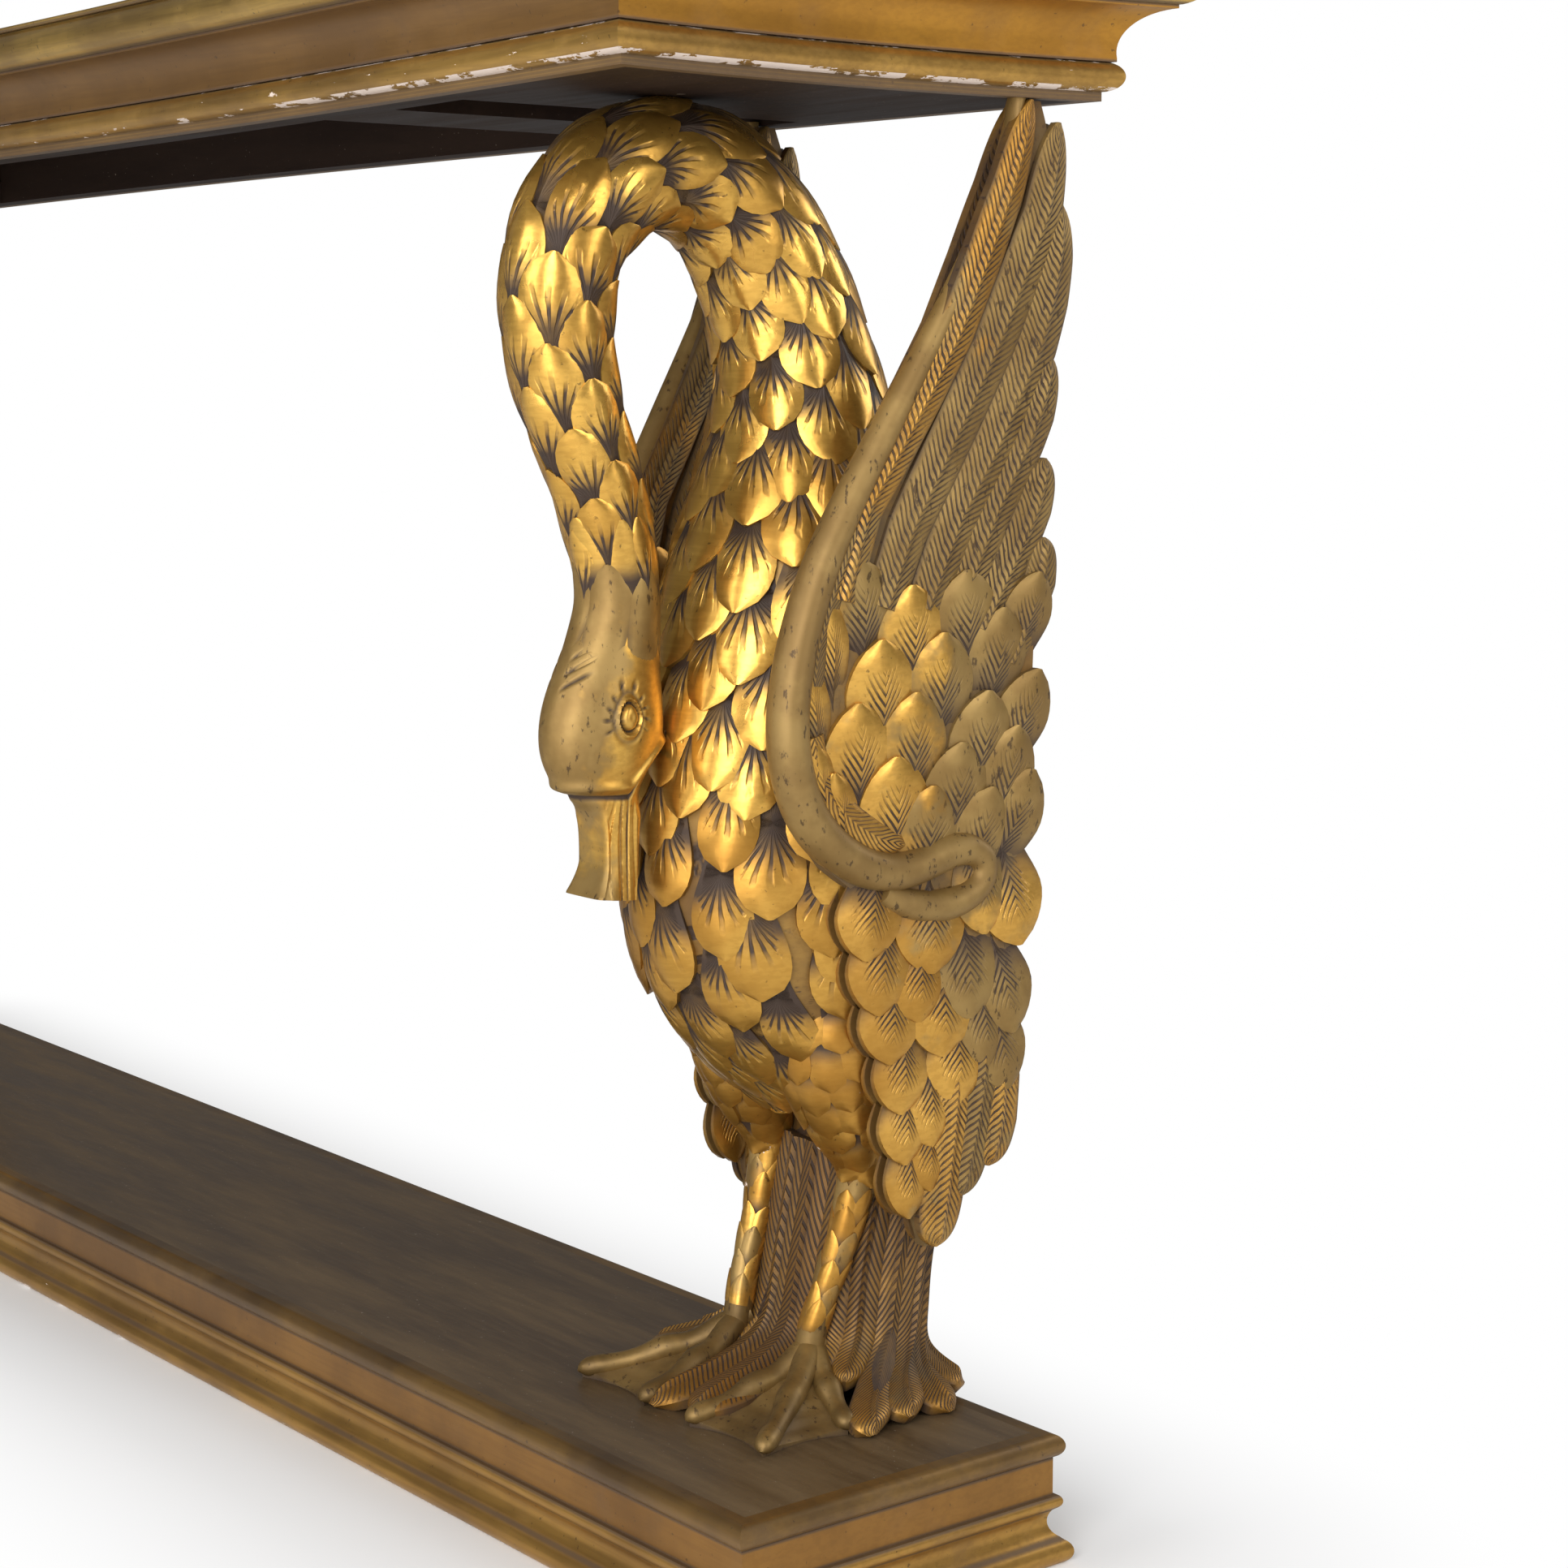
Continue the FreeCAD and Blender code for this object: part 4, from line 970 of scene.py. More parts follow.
@dataclass
class Wing:
    """Raised wing: a blade, up-pointing coverts and quills, down-pointing feathers and a rolled edge.

    Places front to back and heights are in millimetres on the swan's own frame.
    """

    plane: WingPlane
    rng: np.random.Generator
    half_thick: float = 4.0
    leaf_sink: float = 1.5
    blade_heights: tuple[float, float] = (172.0, 812.0)
    roll: tuple = (
        (112, 815, 5.0), (101, 762, 5.5), (79, 716, 6.2), (59, 681, 7.0), (38, 646, 8.0), (14, 605, 9.0),
        (-5, 571, 9.8), (-17, 537, 10.5), (-24, 505, 11.0), (-26, 475, 11.4), (-20, 446, 11.7),
        (-9, 424, 11.8), (9, 407, 11.8), (29, 396, 11.8), (49, 392, 11.6), (67, 396, 11.4), (84, 402, 11.0),
        (99, 403, 10.6), (110, 395, 10.3), (109, 382, 10.2), (97, 373, 10.2), (76, 369, 10.0), (55, 374, 9.0),
        (40, 382, 7.0),
    )
    back: tuple = (
        (170, 88), (190, 100), (205, 106), (220, 118), (250, 124), (290, 130), (340, 132), (400, 134),
        (440, 138), (500, 139), (560, 138), (600, 138), (660, 136), (720, 139), (780, 137), (800, 131),
        (813, 126),
    )
    front: tuple = (
        (170, 80), (225, 60), (300, 42), (378, 30), (388, 16), (400, 0), (421, -15), (450, -22), (481, -24),
        (521, -21), (560, -10), (600, 11), (640, 36), (680, 59), (740, 90), (803, 108), (813, 110),
    )
    quills: tuple = (
        Plume(((4, 545), (17, 595), (37, 627), (55, 657), (72, 687), (89, 727), (104, 766), (117, 812)),
              25, 1.0, 3.2),
        Plume(((32, 540), (47, 583), (65, 616), (82, 648), (100, 683), (115, 718), (129, 751), (137, 801)),
              29, 1.4, 2.2),
        Plume(((60, 538), (80, 587), (101, 622), (118, 657), (129, 680), (136, 705), (140, 730), (142, 757)),
              30, 1.4, 1.3),
        Plume(((84, 540), (105, 590), (115, 609), (125, 628), (132, 644), (140, 675)), 28, 1.4, 0.5),
        Plume(((100, 525), (113, 550), (127, 576), (134, 592), (140, 619)), 27, 1.4, -0.2),
        Plume(((122, 505), (133, 530), (141, 550), (142, 575)), 24, 1.4, -0.8),
        Plume(((94, 268), (93, 245), (90, 215), (84, 172)), 31, 2.0, 1.6),
        Plume(((114, 290), (113, 262), (108, 235), (100, 199)), 32, 2.0, 0.6),
        Plume(((124, 292), (128, 264), (127, 240), (121, 214)), 30, 2.0, -0.3),
    )
    coverts: tuple = (
        ((14, 567), 8, 62, 44), ((50, 552), 4, 62, 45), ((87, 559), 4, 62, 45), ((114, 537), -6, 60, 42),
        ((138, 556), -14, 52, 34), ((-6, 548), 8, 64, 26), ((31, 523), 4, 66, 46), ((73, 525), 0, 66, 46),
        ((106, 491), -6, 64, 44), ((141, 501), -20, 60, 38), ((-19, 515), 12, 66, 26), ((17, 489), 4, 66, 46),
        ((56, 493), 0, 66, 46), ((89, 463), -4, 64, 46), ((140, 444), -24, 62, 42), ((-12, 470), 14, 60, 24),
        ((2, 452), 14, 52, 26), ((44, 458), 2, 66, 48), ((128, 470), -12, 64, 40), ((70, 440), -4, 60, 46),
        ((112, 436), -16, 60, 42),
    )
    hanging: tuple = (
        ((28, 345), 8, 52, 44), ((74, 333), -2, 56, 48), ((136, 343), -14, 64, 46), ((110, 352), -6, 60, 40),
        ((38, 313), 4, 56, 44), ((102, 304), -6, 58, 50), ((134, 292), -16, 62, 42), ((66, 306), 0, 50, 40),
        ((47, 284), 2, 52, 42), ((84, 284), -2, 56, 46), ((132, 259), -14, 58, 38), ((116, 275), -8, 54, 36),
        ((56, 254), 2, 50, 38), ((96, 255), -2, 54, 42), ((60, 224), 0, 48, 34), ((78, 232), -2, 50, 34),
        ((64, 192), 0, 50, 30), ((78, 206), -2, 46, 30),
    )
    fringe: tuple = (
        Plume(((-13, 472), (-9, 452), (3, 434), (18, 422), (34, 413), (52, 408)), 19, 0.0, 2.4),
        Plume(((-14, 500), (-12, 520), (-3, 550), (10, 580), (24, 606), (42, 634), (62, 668)), 17, 0.0, 2.8),
    )

    def olive(self, y: float, z: float) -> float:
        """Share of bronze paint over the leaf.

        Args:
            y: Place front to back on the wing.
            z: Height on the wing.

        Returns:
            The share, a little uneven.
        """
        rear = float(np.interp(y, [40, 120], [0.15, 0.95]))
        low = float(np.interp(z, [200, 330, 420], [0.55, 0.75, 1.0]))
        return float(np.clip(rear * low + self.rng.normal(0, 0.2), 0, 1))

    def blade(self) -> Carving:
        """Blade and its pointed feathers on both faces."""
        carving = Carving()
        heights, share = np.linspace(*self.blade_heights, 66), np.linspace(0, 1, 9)
        front, back = (np.interp(heights, *np.array(edge, float).T) for edge in (self.front, self.back))
        y = front[:, None] + (back - front)[:, None] * share
        z = np.repeat(heights[:, None], len(share), axis=1)
        thick = np.full(y.size, self.half_thick * MM)
        top, low = (self.plane.at(y.ravel(), z.ravel(), thick, face) for face in (1, -1))
        faces, rim = sheet_faces(len(heights) - 1, len(share) - 1)
        faces = faces[:(len(heights) - 1) * (len(share) - 1)]
        closed = faces + [[i + y.size for i in face[::-1]] for face in faces]
        for corner, following in zip(rim, [*rim[1:], rim[0]]):
            closed.append([corner, corner + y.size, following + y.size, following])
        points = np.vstack([top, low])
        # the blade, seen between the feathers, gets a low tone: painted shade
        tone = np.tile([0.35, 0.5, 0.5], (len(points), 1))
        outward = (self.plane.side.value, 0, 0)
        carving.add(points, closed, np.full((len(points), 2), 0.5), tone, outward)
        feather = Feather(cells=(12, 8), root_share=0.62, dome=3.0 * MM, point_power=1.7, shade=(0.1, 0.6))
        for rise, feathers in ((1, self.coverts), (-1, self.hanging)):
            for (y, z), lean, length, width in feathers:
                angle = math.radians(lean)
                root = (y + length * math.sin(angle), z - rise * length * math.cos(angle))
                for face in (1, -1):
                    self.lay(carving, feather, Plume((root, (y, z)), width), face)
        return carving

    def feathers(self) -> Carving:
        """Long quills and the fringe beside the roll, with a rod for a shaft and barbs."""
        carving = Carving()
        for plumes, shaft, shaft_width in ((self.quills, 2.4, 3.0), (self.fringe, 0.8, 1.5)):
            feather = Feather(cells=(64, 14), root_share=0.9, widest_share=0.3, point_power=7.0,
                              dome=2.4 * MM, shaft=shaft * MM, shaft_width=shaft_width * MM)
            for plume in plumes:
                for face in (1, -1):
                    self.lay(carving, feather, plume, face)
        return carving

    def lay(self, carving: Carving, feather: Feather, plume: Plume, face: int) -> None:
        """Lay one feather on a face of the wing.

        Args:
            carving: Where it goes.
            feather: Its leaf shape.
            plume: Where it lies.
            face: 1 for the outer face and -1 for the inner.
        """
        axis = np.array(plume.axis, float)
        steps = np.concatenate([[0], np.cumsum(np.linalg.norm(np.diff(axis, axis=0), axis=1))])
        length = steps[-1]
        leaf = feather.leaf()
        walked = leaf.along * length
        place = np.stack([np.interp(walked, steps, axis[:, i]) for i in (0, 1)], axis=1)
        before, after = (np.stack([np.interp(np.clip(walked + step, 0, length), steps, axis[:, i])
                                   for i in (0, 1)], axis=1) for step in (-9, 9))
        run = after - before
        run /= np.linalg.norm(run, axis=1)[:, None]
        side = np.stack([-run[:, 1], run[:, 0]], axis=1)
        flat = place + side * (leaf.across * feather.outline(leaf.along) * plume.width / 2)[:, None]
        cavity, span = leaf.cavity, 1.0
        if feather.shaft:
            rise, cavity = feather.rodded(leaf, plume.lift * MM, plume.width / 2 * MM)
            span = length / BARB_SPAN
        else:
            rise = feather.heights(leaf, np.array([plume.lift * MM]), 1.6 * MM)[0]
        rise = np.where(leaf.wall > 0, -self.leaf_sink * MM, rise + plume.layer * MM)
        points = self.plane.at(flat[:, 0], flat[:, 1], rise + self.half_thick * MM, face)
        paint = self.olive(*axis[len(axis) // 2])
        carving.add_feathers(leaf, points, cavity, [paint], self.rng, span)

    def edge(self) -> Carving:
        """Rolled leading edge and its scroll under the shoulder."""
        carving = Carving()
        y, z, radius = np.array(self.roll, float).T
        x = self.plane.at(y, z, np.full(len(y), 2.0 * MM), 1)[:, 0]
        spine = np.stack([y, z], axis=1) * MM
        skin = TubeSkin.along(spine, radius * MM, radius * MM * 1.12, level=1, x=x)
        skin.core(carving, (0.0, 1.0), (28, 220), (0.9, 0.5, 0.85))
        return carving


@dataclass
class Swan:
    """One carved swan, modelled on its centre plane and then set in its place.

    Heights are shares of the space between plinth and frieze, places front to back are
    shares of the body's depth, and thicknesses are shares of the named widths. A pitch is
    the distance between rows of feathers, and a spacing that inside a row. These, the
    face, toes, webs and tail are in millimetres.
    """

    foot: float
    tall: float
    depth: float = 0.220
    body_width: float = 0.168
    neck_width: float = 0.072
    head_width: float = 0.052
    leg_width: float = 0.024
    leg_spread: float = 0.039
    seed: int = 11
    body_shares: tuple = (
        (0.230, 0.386, 0.200, 0.250), (0.253, 0.364, 0.300, 0.350), (0.284, 0.332, 0.380, 0.417),
        (0.320, 0.291, 0.441, 0.452), (0.353, 0.264, 0.473, 0.476), (0.409, 0.241, 0.491, 0.494),
        (0.466, 0.255, 0.491, 0.500), (0.547, 0.273, 0.459, 0.488), (0.655, 0.277, 0.373, 0.440),
        (0.709, 0.264, 0.282, 0.369), (0.764, 0.255, 0.227, 0.286),
    )
    neck_shares: tuple = (
        (0.818, 0.227, 0.597), (0.865, 0.173, 0.542), (0.916, 0.068, 0.507), (0.949, -0.068, 0.500),
        (0.9555, -0.227, 0.486), (0.937, -0.377, 0.465), (0.896, -0.482, 0.431), (0.841, -0.514, 0.396),
        (0.786, -0.477, 0.361), (0.741, -0.414, 0.333), (0.696, -0.359, 0.3125), (0.650, -0.327, 0.2986),
    )
    head_shares: tuple = (
        (0.622, -0.330, 0.43, 0.41), (0.581, -0.358, 0.60, 0.47), (0.549, -0.378, 0.73, 0.50),
        (0.522, -0.388, 0.72, 0.48), (0.505, -0.382, 0.56, 0.42), (0.492, -0.368, 0.36, 0.36),
        (0.478, -0.360, 0.24, 0.32), (0.453, -0.360, 0.21, 0.31), (0.428, -0.363, 0.20, 0.32),
        (0.414, -0.368, 0.20, 0.33),
    )
    leg_shares: tuple = (
        (0.400, 0.190, 0.80, 1.00), (0.352, 0.195, 0.92, 1.40), (0.322, 0.200, 1.00, 1.54),
        (0.291, 0.209, 1.02, 1.46), (0.267, 0.218, 1.04, 1.33), (0.248, 0.236, 1.06, 1.13),
        (0.230, 0.255, 1.07, 1.00), (0.214, 0.273, 1.08, 0.81), (0.196, 0.295, 1.08, 0.56),
        (0.1775, 0.305, 1.06, 0.46), (0.153, 0.273, 1.04, 0.385), (0.126, 0.250, 1.00, 0.36),
        (0.099, 0.214, 0.96, 0.32), (0.0745, 0.182, 0.92, 0.30), (0.058, 0.168, 0.87, 0.34),
    )
    body_pitch: tuple[float, float] = (15.0, 22.0)
    body_spacing: tuple[float, float] = (36.0, 51.0)
    neck_pitch: float = 21.0
    neck_spacing: float = 42.0
    thigh_pitch: float = 15.0
    thigh_spacing: float = 20.0
    shank_pitch: float = 13.0
    eye_place: tuple[float, float] = (-83.0, 482.0)
    comb_heights: tuple = (500, 508, 516)
    lip_height: float = 441.0
    bill_heights: tuple[float, float] = (424.0, 440.0)
    bill_end: float = 400.0
    web_edge: float = 4.5
    web_rise: float = 27.0
    web_sag: float = 2.5
    toe_tips: tuple = ((22, -43), (87, -41), (89, 19), (36, 78))
    toe_sizes: tuple = (
        (-0.08, 38, 7, 7), (0.04, 33, 8.2, 8.2), (0.16, 26, 7.8, 8.2), (0.30, 19, 6.6, 7), (0.42, 18, 8, 8),
        (0.50, 16, 8, 8), (0.60, 12, 6.2, 6.4), (0.74, 9, 5.6, 5.8), (0.86, 7.4, 6.5, 6.7),
        (0.94, 6.6, 6.2, 6.4), (0.985, 5.6, 4.8, 5.2), (1.005, 4.6, 2.6, 3.4), (1.015, 3.8, 0.8, 1.2),
    )
    hind_toe_share: float = 0.75
    sleeve_shares: tuple = (0.27, 0.34, 0.37)
    sleeve_sizes: tuple = ((-1, 34, 9.0), (-2, 26, 7.5), (-2, 16, 4.5))
    # height over the plinth, middle, half depth and half width, and how square the ring is
    tail_sizes: tuple = (
        (0.5, 43, 83, 101, 0.9), (4, 44, 80, 98, 0.9), (7, 48, 74, 93, 0.8), (10, 54, 66, 85, 0.7),
        (14, 62, 55, 76, 0.6), (20, 70, 45, 67, 0.4), (30, 78, 38, 60, 0.2), (45, 84, 37, 57, 0.1),
        (75, 88, 37, 55, 0.0), (114, 98, 39, 56, 0.0), (165, 108, 41, 55, 0.0), (215, 112, 41, 50, 0.0),
        (240, 112, 36, 44, 0.0),
    )
    tail_root: float = 0.86
    tail_leaf_share: float = 0.042

    def __post_init__(self) -> None:
        """Work out the skins that the parts are carved on."""
        self.rng = np.random.default_rng(self.seed)
        rows = [(y, h, self.depth * b, self.body_width * a) for h, y, b, a in self.body_shares]
        rows += [(y, h, self.neck_width * r, self.neck_width * r) for h, y, r in self.neck_shares]
        rows += [(y, h, self.head_width * b, self.head_width * a) for h, y, b, a in self.head_shares]
        table = np.array([(self.depth * y, self.z(h), b, a) for y, h, b, a in rows])
        body, neck = len(self.body_shares), len(self.neck_shares)
        self.trunk = TubeSkin.along(table[:, :2], table[:, 2], table[:, 3], level=body)
        self.shoulder = (body - 2.5) / (len(rows) - 3)
        self.throat = (body + neck - 1.6) / (len(rows) - 3)

    def z(self, share: float) -> float:
        """Height in metres at a share of the swan's height."""
        return self.foot + self.tall * share

    def rows(self, skin: TubeSkin, v_range: tuple[float, float], pitch: Callable[[float], float],
             width: Callable[[float], float], jitter: float = 1.0, cover: float = 1.14,
             reach: float = 2.25) -> tuple[Array, Array]:
        """Spread feathers in staggered rows over a tube.

        Args:
            skin: The tube.
            v_range: Part of the tube that gets feathers.
            pitch: Distance between rows at a place along the tube.
            width: Spacing of the feathers in a row there.
            jitter: How uneven the carver's rows are.
            cover: Feather width as a share of that spacing.
            reach: Feather length as a share of the row pitch.

        Returns:
            Roots, and sizes as width, length and lift.
        """
        roots, sizes = [], []
        v, row = v_range[0], 0
        while v < v_range[1]:
            pace = float(skin.facing(np.arange(8) / 8, np.full(8, v))[1].mean())
            step = pitch(v) / pace
            girth = float(skin.girth(np.array([v]))[0])
            count = max(4, round(girth / width(v)))
            u = (np.arange(count) + 0.5 * (row % 2)) / count + self.rng.normal(0, 0.01 * jitter, count)
            place = v + self.rng.normal(0, 0.06 * jitter, count) * step
            _, speed = skin.facing(u, np.clip(place, 0.001, 0.999))
            length = pitch(v) * reach * np.clip(speed / pace, 0.55, 1.35)
            length = length * self.rng.uniform(0.94, 1.06, count)
            wide = girth / count * cover * self.rng.uniform(0.95, 1.06, count)
            roots.append(np.stack([u, place + (reach - 0.95) * step], axis=1))
            sizes.append(np.stack([wide, length, self.rng.uniform(3.2, 4.6, count) * MM], axis=1))
            v += step
            row += 1
        return np.vstack(roots), np.vstack(sizes)

    def body(self) -> Carving:
        """Body covered with rounded feathers that point down."""
        carving = Carving()
        # the core, seen only between the feathers, gets a low tone: painted shade
        self.trunk.core(carving, (0.0, self.shoulder + 0.01), (56, 44), (0.4, 0.5, 0.0), inset=1.5 * MM)
        feather = Feather(shade=(0.32, 0.60), point_power=2.3, widest_share=0.62)
        roots, sizes = self.rows(
            self.trunk, (0.0, self.shoulder), lambda v: float(np.interp(v, [0, 0.1], self.body_pitch)) * MM,
            lambda v: float(np.interp(v, [0, 0.1], self.body_spacing)) * MM, cover=0.74, reach=2.9)
        feather.lay_on(carving, self.trunk, roots, sizes, np.zeros(len(roots)), self.rng, ridge=0.7 * MM)
        return carving

    def neck(self) -> Carving:
        """Neck from the shoulders over its arch to the head, with flatter feathers."""
        carving = Carving()
        low, high = self.shoulder, self.throat
        # the core, seen only between the feathers, gets a low tone: painted shade
        self.trunk.core(carving, (low, high + 0.01), (40, 110), (0.3, 0.5, 0.0), inset=1.2 * MM)
        roots, sizes = self.rows(self.trunk, (low, high - 0.012), lambda v: self.neck_pitch * MM,
                                 lambda v: self.neck_spacing * MM, cover=0.76, reach=2.9)
        sizes[:, 2] *= np.interp(roots[:, 1], [low, high - 0.2, high], [0.9, 0.6, 0.35])
        sizes[:, 1] *= np.interp(roots[:, 1], [high - 0.3, high], [1.0, 0.9])
        feather = Feather(dome=1.8 * MM, shade=(0.34, 0.62), widest_share=0.62, point_power=2.1)
        feather.lay_on(carving, self.trunk, roots, sizes, np.zeros(len(roots)), self.rng)
        return carving

    def eye(self, y: Array, z: Array) -> Array:
        """Relief of an eye: a ball in its rings, with short strokes round it.

        Args:
            y: Places front to back, in millimetres.
            z: Heights, in millimetres.

        Returns:
            Height over the skin, in millimetres.
        """
        up, back = z - self.eye_place[1], y - self.eye_place[0]
        near = np.hypot(back / (0.84 * (1 - 0.3 * np.clip(up / 15, 0, 1))), up / 1.18)
        rings = 1.8 * np.exp(-(((near - 8.6) / 1.5) ** 2)) - 0.8 * np.exp(-(((near - 11.4) / 1.6) ** 2))
        ball = 3.0 * np.sqrt(np.clip(1 - (near / 6.2) ** 2, 0, 1)) - 0.7 * np.exp(-((near / 1.6) ** 2))
        groove = 2.2 * np.exp(-(((near - 6.8) / 1.0) ** 2))
        ray = np.arctan2(up, back)
        strokes = smoothstep(0.35, 0.8, np.cos(ray * 13 + near * 0.12)) * (np.sin(ray) > -0.55)
        return rings + ball - groove - strokes * np.exp(-(((near - 15.5) / 2.6) ** 2))

    def face(self, points: Array, u: Array) -> Array:
        """Relief of the head and bill: eyes in their rings, the lip and a flat, lined bill.

        Args:
            points: Points of the head's skin.
            u: Turns.

        Returns:
            Height over the skin.
        """
        y, z = points[:, 1] / MM, points[:, 2] / MM
        turn = 2 * math.pi * u
        flank, front = np.abs(np.cos(turn)), np.sin(turn)
        lift = smoothstep(0.3, 0.55, flank) * self.eye(y, z)
        for level in self.comb_heights:
            comb = np.exp(-(((z - level - 0.7 * (flank * 26 - 9)) / 1.1) ** 2)) * (front > 0)
            lift -= 1.1 * comb * smoothstep(0.15, 0.3, flank) * (1 - smoothstep(0.55, 0.75, flank))
        lip = self.lip_height + 22 * smoothstep(0.1, 0.9, -front)
        lift += 2.2 * np.exp(-(((z - lip - 3) / 3.0) ** 2)) - 1.6 * np.exp(-(((z - lip + 3.5) / 1.8) ** 2))
        boxy = 1 - smoothstep(*self.bill_heights, z)
        square = (np.cos(turn) ** 6 + np.sin(turn) ** 6) ** (-1 / 6) - 1
        lift += boxy * square * 13
        lines = smoothstep(0.1, 0.9, np.cos((y + 74) * 2 * math.pi / 4.4)) * (y < -69) * (flank > 0.75)
        lift -= boxy * 1.2 * lines
        flare = np.clip((self.bill_end - z) / 18, 0, 1) ** 1.4 * smoothstep(0.1, 0.8, front)
        return (lift + 6.5 * flare) * MM

    def head(self) -> Carving:
        """Smooth head and bill, with feather tips that lie over the neck's end."""
        carving = Carving()
        self.trunk.core(carving, (self.throat - 0.005, 1.0), (224, 250), (1.0, 0.5, 0.75), relief=self.face)
        rear = smoothstep(-0.112, -0.060, carving.points[-1][:, 1])
        carving.tones[-1][:, 2] = 0.68 - 0.55 * rear
        count = 6
        for row, (place, width) in enumerate(((0.026, 27), (0.056, 26))):
            turns = (np.arange(count) + 0.5 * row + 0.25) / count
            roots = np.stack([turns, np.full(count, self.throat + place)], axis=1)
            sizes = np.tile([width * MM, 60 * MM, 1.6 * MM], (count, 1))
            feather = Feather(cells=(16, 8), dome=1.2 * MM, shade=(0.40, 0.66) if row == 0 else (-1.0, -0.5),
                              root_share=0.9, widest_share=0.62, point_power=1.6)
            paint = np.full(count, 0.35 + 0.3 * row)
            feather.lay_on(carving, self.trunk, roots, sizes, paint, self.rng, ridge=0.0)
        return carving

    def stations(self, side: Side) -> Array:
        """Places and radii down a leg, one row each."""
        return np.array([(side.value * self.leg_spread * out, self.depth * y, self.z(h), self.leg_width * r)
                         for h, y, out, r in self.leg_shares])

    def leg(self, side: Side) -> Carving:
        """Thigh with small scales and a shank with notched ones.

        Args:
            side: Which leg.

        Returns:
            The leg.
        """
        carving = Carving()
        table = self.stations(side)
        down = TubeSkin.along(table[:, 1:3], table[:, 3], table[:, 3], level=3, x=table[:, 0])
        table = table[::-1]
        up = TubeSkin.along(table[:, 1:3], table[:, 3], table[:, 3], x=table[:, 0])
        # the core, seen between the scales, gets a middling tone: painted shade
        down.core(carving, (0.0, 1.0), (32, 60), (0.5, 0.5, 0.1), inset=1.0 * MM)
        # near the ankle the core's tone rises, so less painted shade, and more paint
        ankle = 1 - smoothstep(60 * MM, 90 * MM, carving.points[-1][:, 2] - self.foot)
        carving.tones[-1] += np.outer(ankle, (0.40, 0.0, 0.6))
        scale = Feather(cells=(8, 6), root_share=0.85, point_power=3.2, dome=1.2 * MM, sink=3 * MM,
                        shade=(0.2, 0.6))
        roots, sizes = self.rows(up, (0.38, 0.96), lambda v: self.thigh_pitch * MM,
                                 lambda v: self.thigh_spacing * MM, jitter=1.8)
        sizes[:, 2] = 2.2 * MM
        scale.lay_on(carving, up, roots, sizes, np.full(len(roots), 0.1), self.rng, ridge=0.3 * MM)
        notch = Feather(cells=(8, 6), root_share=0.8, point_power=1.4, dome=0.8 * MM, sink=2.5 * MM,
                        shade=(0.1, 0.5))
        roots, sizes = self.rows(down, (0.60, 0.99), lambda v: self.shank_pitch * MM,
                                 lambda v: self.shank_pitch * MM, jitter=2.0)
        sizes[:, 2] = 1.3 * MM
        paint = self.rng.uniform(0.1, 0.7, len(roots))
        notch.lay_on(carving, down, roots, sizes, paint, self.rng, ridge=0.2 * MM)
        return carving

    def webbed_foot(self, side: Side) -> Carving:
        """Ankle, three knuckled toes joined by webs, and a short hind toe.

        Args:
            side: Which foot.

        Returns:
            The foot.
        """
        carving = Carving()
        shank = self.stations(Side.PLUS)[-3:]
        ankle = shank[-1, :2]
        tips = np.array(self.toe_tips) * MM
        for i, tip in enumerate(tips):
            toe = Carving()
            way = tip - ankle
            length = float(np.linalg.norm(way))
            rows = np.array([(share * length, z * MM, a * MM, b * MM) for share, z, a, b in self.toe_sizes])
            if i == len(tips) - 1:
                rows[:, 1:] *= self.hind_toe_share
            skin = TubeSkin.along(rows[:, :2], rows[:, 2], rows[:, 3])
            skin.core(toe, (0.0, 1.0), (20, 40), (0.95, 0.5, 0.8))
            turn = math.atan2(way[1], way[0]) - math.pi / 2
            carving.merge(toe, turn, (*ankle, self.foot), floor=self.foot + PLINTH_SKIM)
        shank[:, 3] = self.leg_width * np.array(self.sleeve_shares)
        post = [(ankle[0], ankle[1] + y * MM, self.foot + z * MM, r * MM) for y, z, r in self.sleeve_sizes]
        sleeve = np.vstack([shank, post])
        skin = TubeSkin.along(sleeve[:, 1:3], sleeve[:, 3], sleeve[:, 3], level=6, x=sleeve[:, 0])
        skin.core(carving, (0.0, 1.0), (24, 30), (0.95, 0.5, 0.7))
        for first, second in ((0, 1), (1, 2)):
            self.web(carving, ankle, tips[first], tips[second])
        return carving.mirrored() if side is Side.MINUS else carving

    def web(self, carving: Carving, ankle: Array, first: Array, second: Array) -> None:
        """Web between two toes, solid down to the plinth.

        Args:
            carving: Where it goes.
            ankle: Place of the ankle.
            first: Tip of one toe.
            second: Tip of the other toe.
        """
        cells = 20
        shares = np.linspace(0, 1, cells + 1)
        reach, cross = np.meshgrid(np.linspace(0.05, 1, cells + 1), shares, indexing="ij")
        reach, cross = reach.ravel(), cross.ravel()
        sag = np.sin(math.pi * cross)
        edge = 0.99 - 0.10 * sag ** 0.8
        way = first[None, :] * (1 - cross)[:, None] + second[None, :] * cross[:, None] - ankle
        flat = ankle + way * (reach * edge)[:, None]
        crease = 0.5 * np.cos(reach * 34) * sag
        high = self.web_edge + self.web_rise * (1 - reach) ** 1.25 - self.web_sag * sag * reach + crease
        top = np.column_stack([flat, self.foot + high * MM])
        faces, rim = sheet_faces(cells, cells)
        low = top[rim].copy()
        low[:, 2] = self.foot + PLINTH_SKIM
        points = np.vstack([top, low])
        # painted shade: the web's walls are dark, and its top darkens towards the toes on either side
        tone = np.tile([0.2, 0.4, 0.8], (len(points), 1))
        tone[:len(top), 0] = 0.35 + 0.45 * sag**0.7
        carving.add(points, faces, np.full((len(points), 2), 0.5), tone, outward=(0, 0, 1))

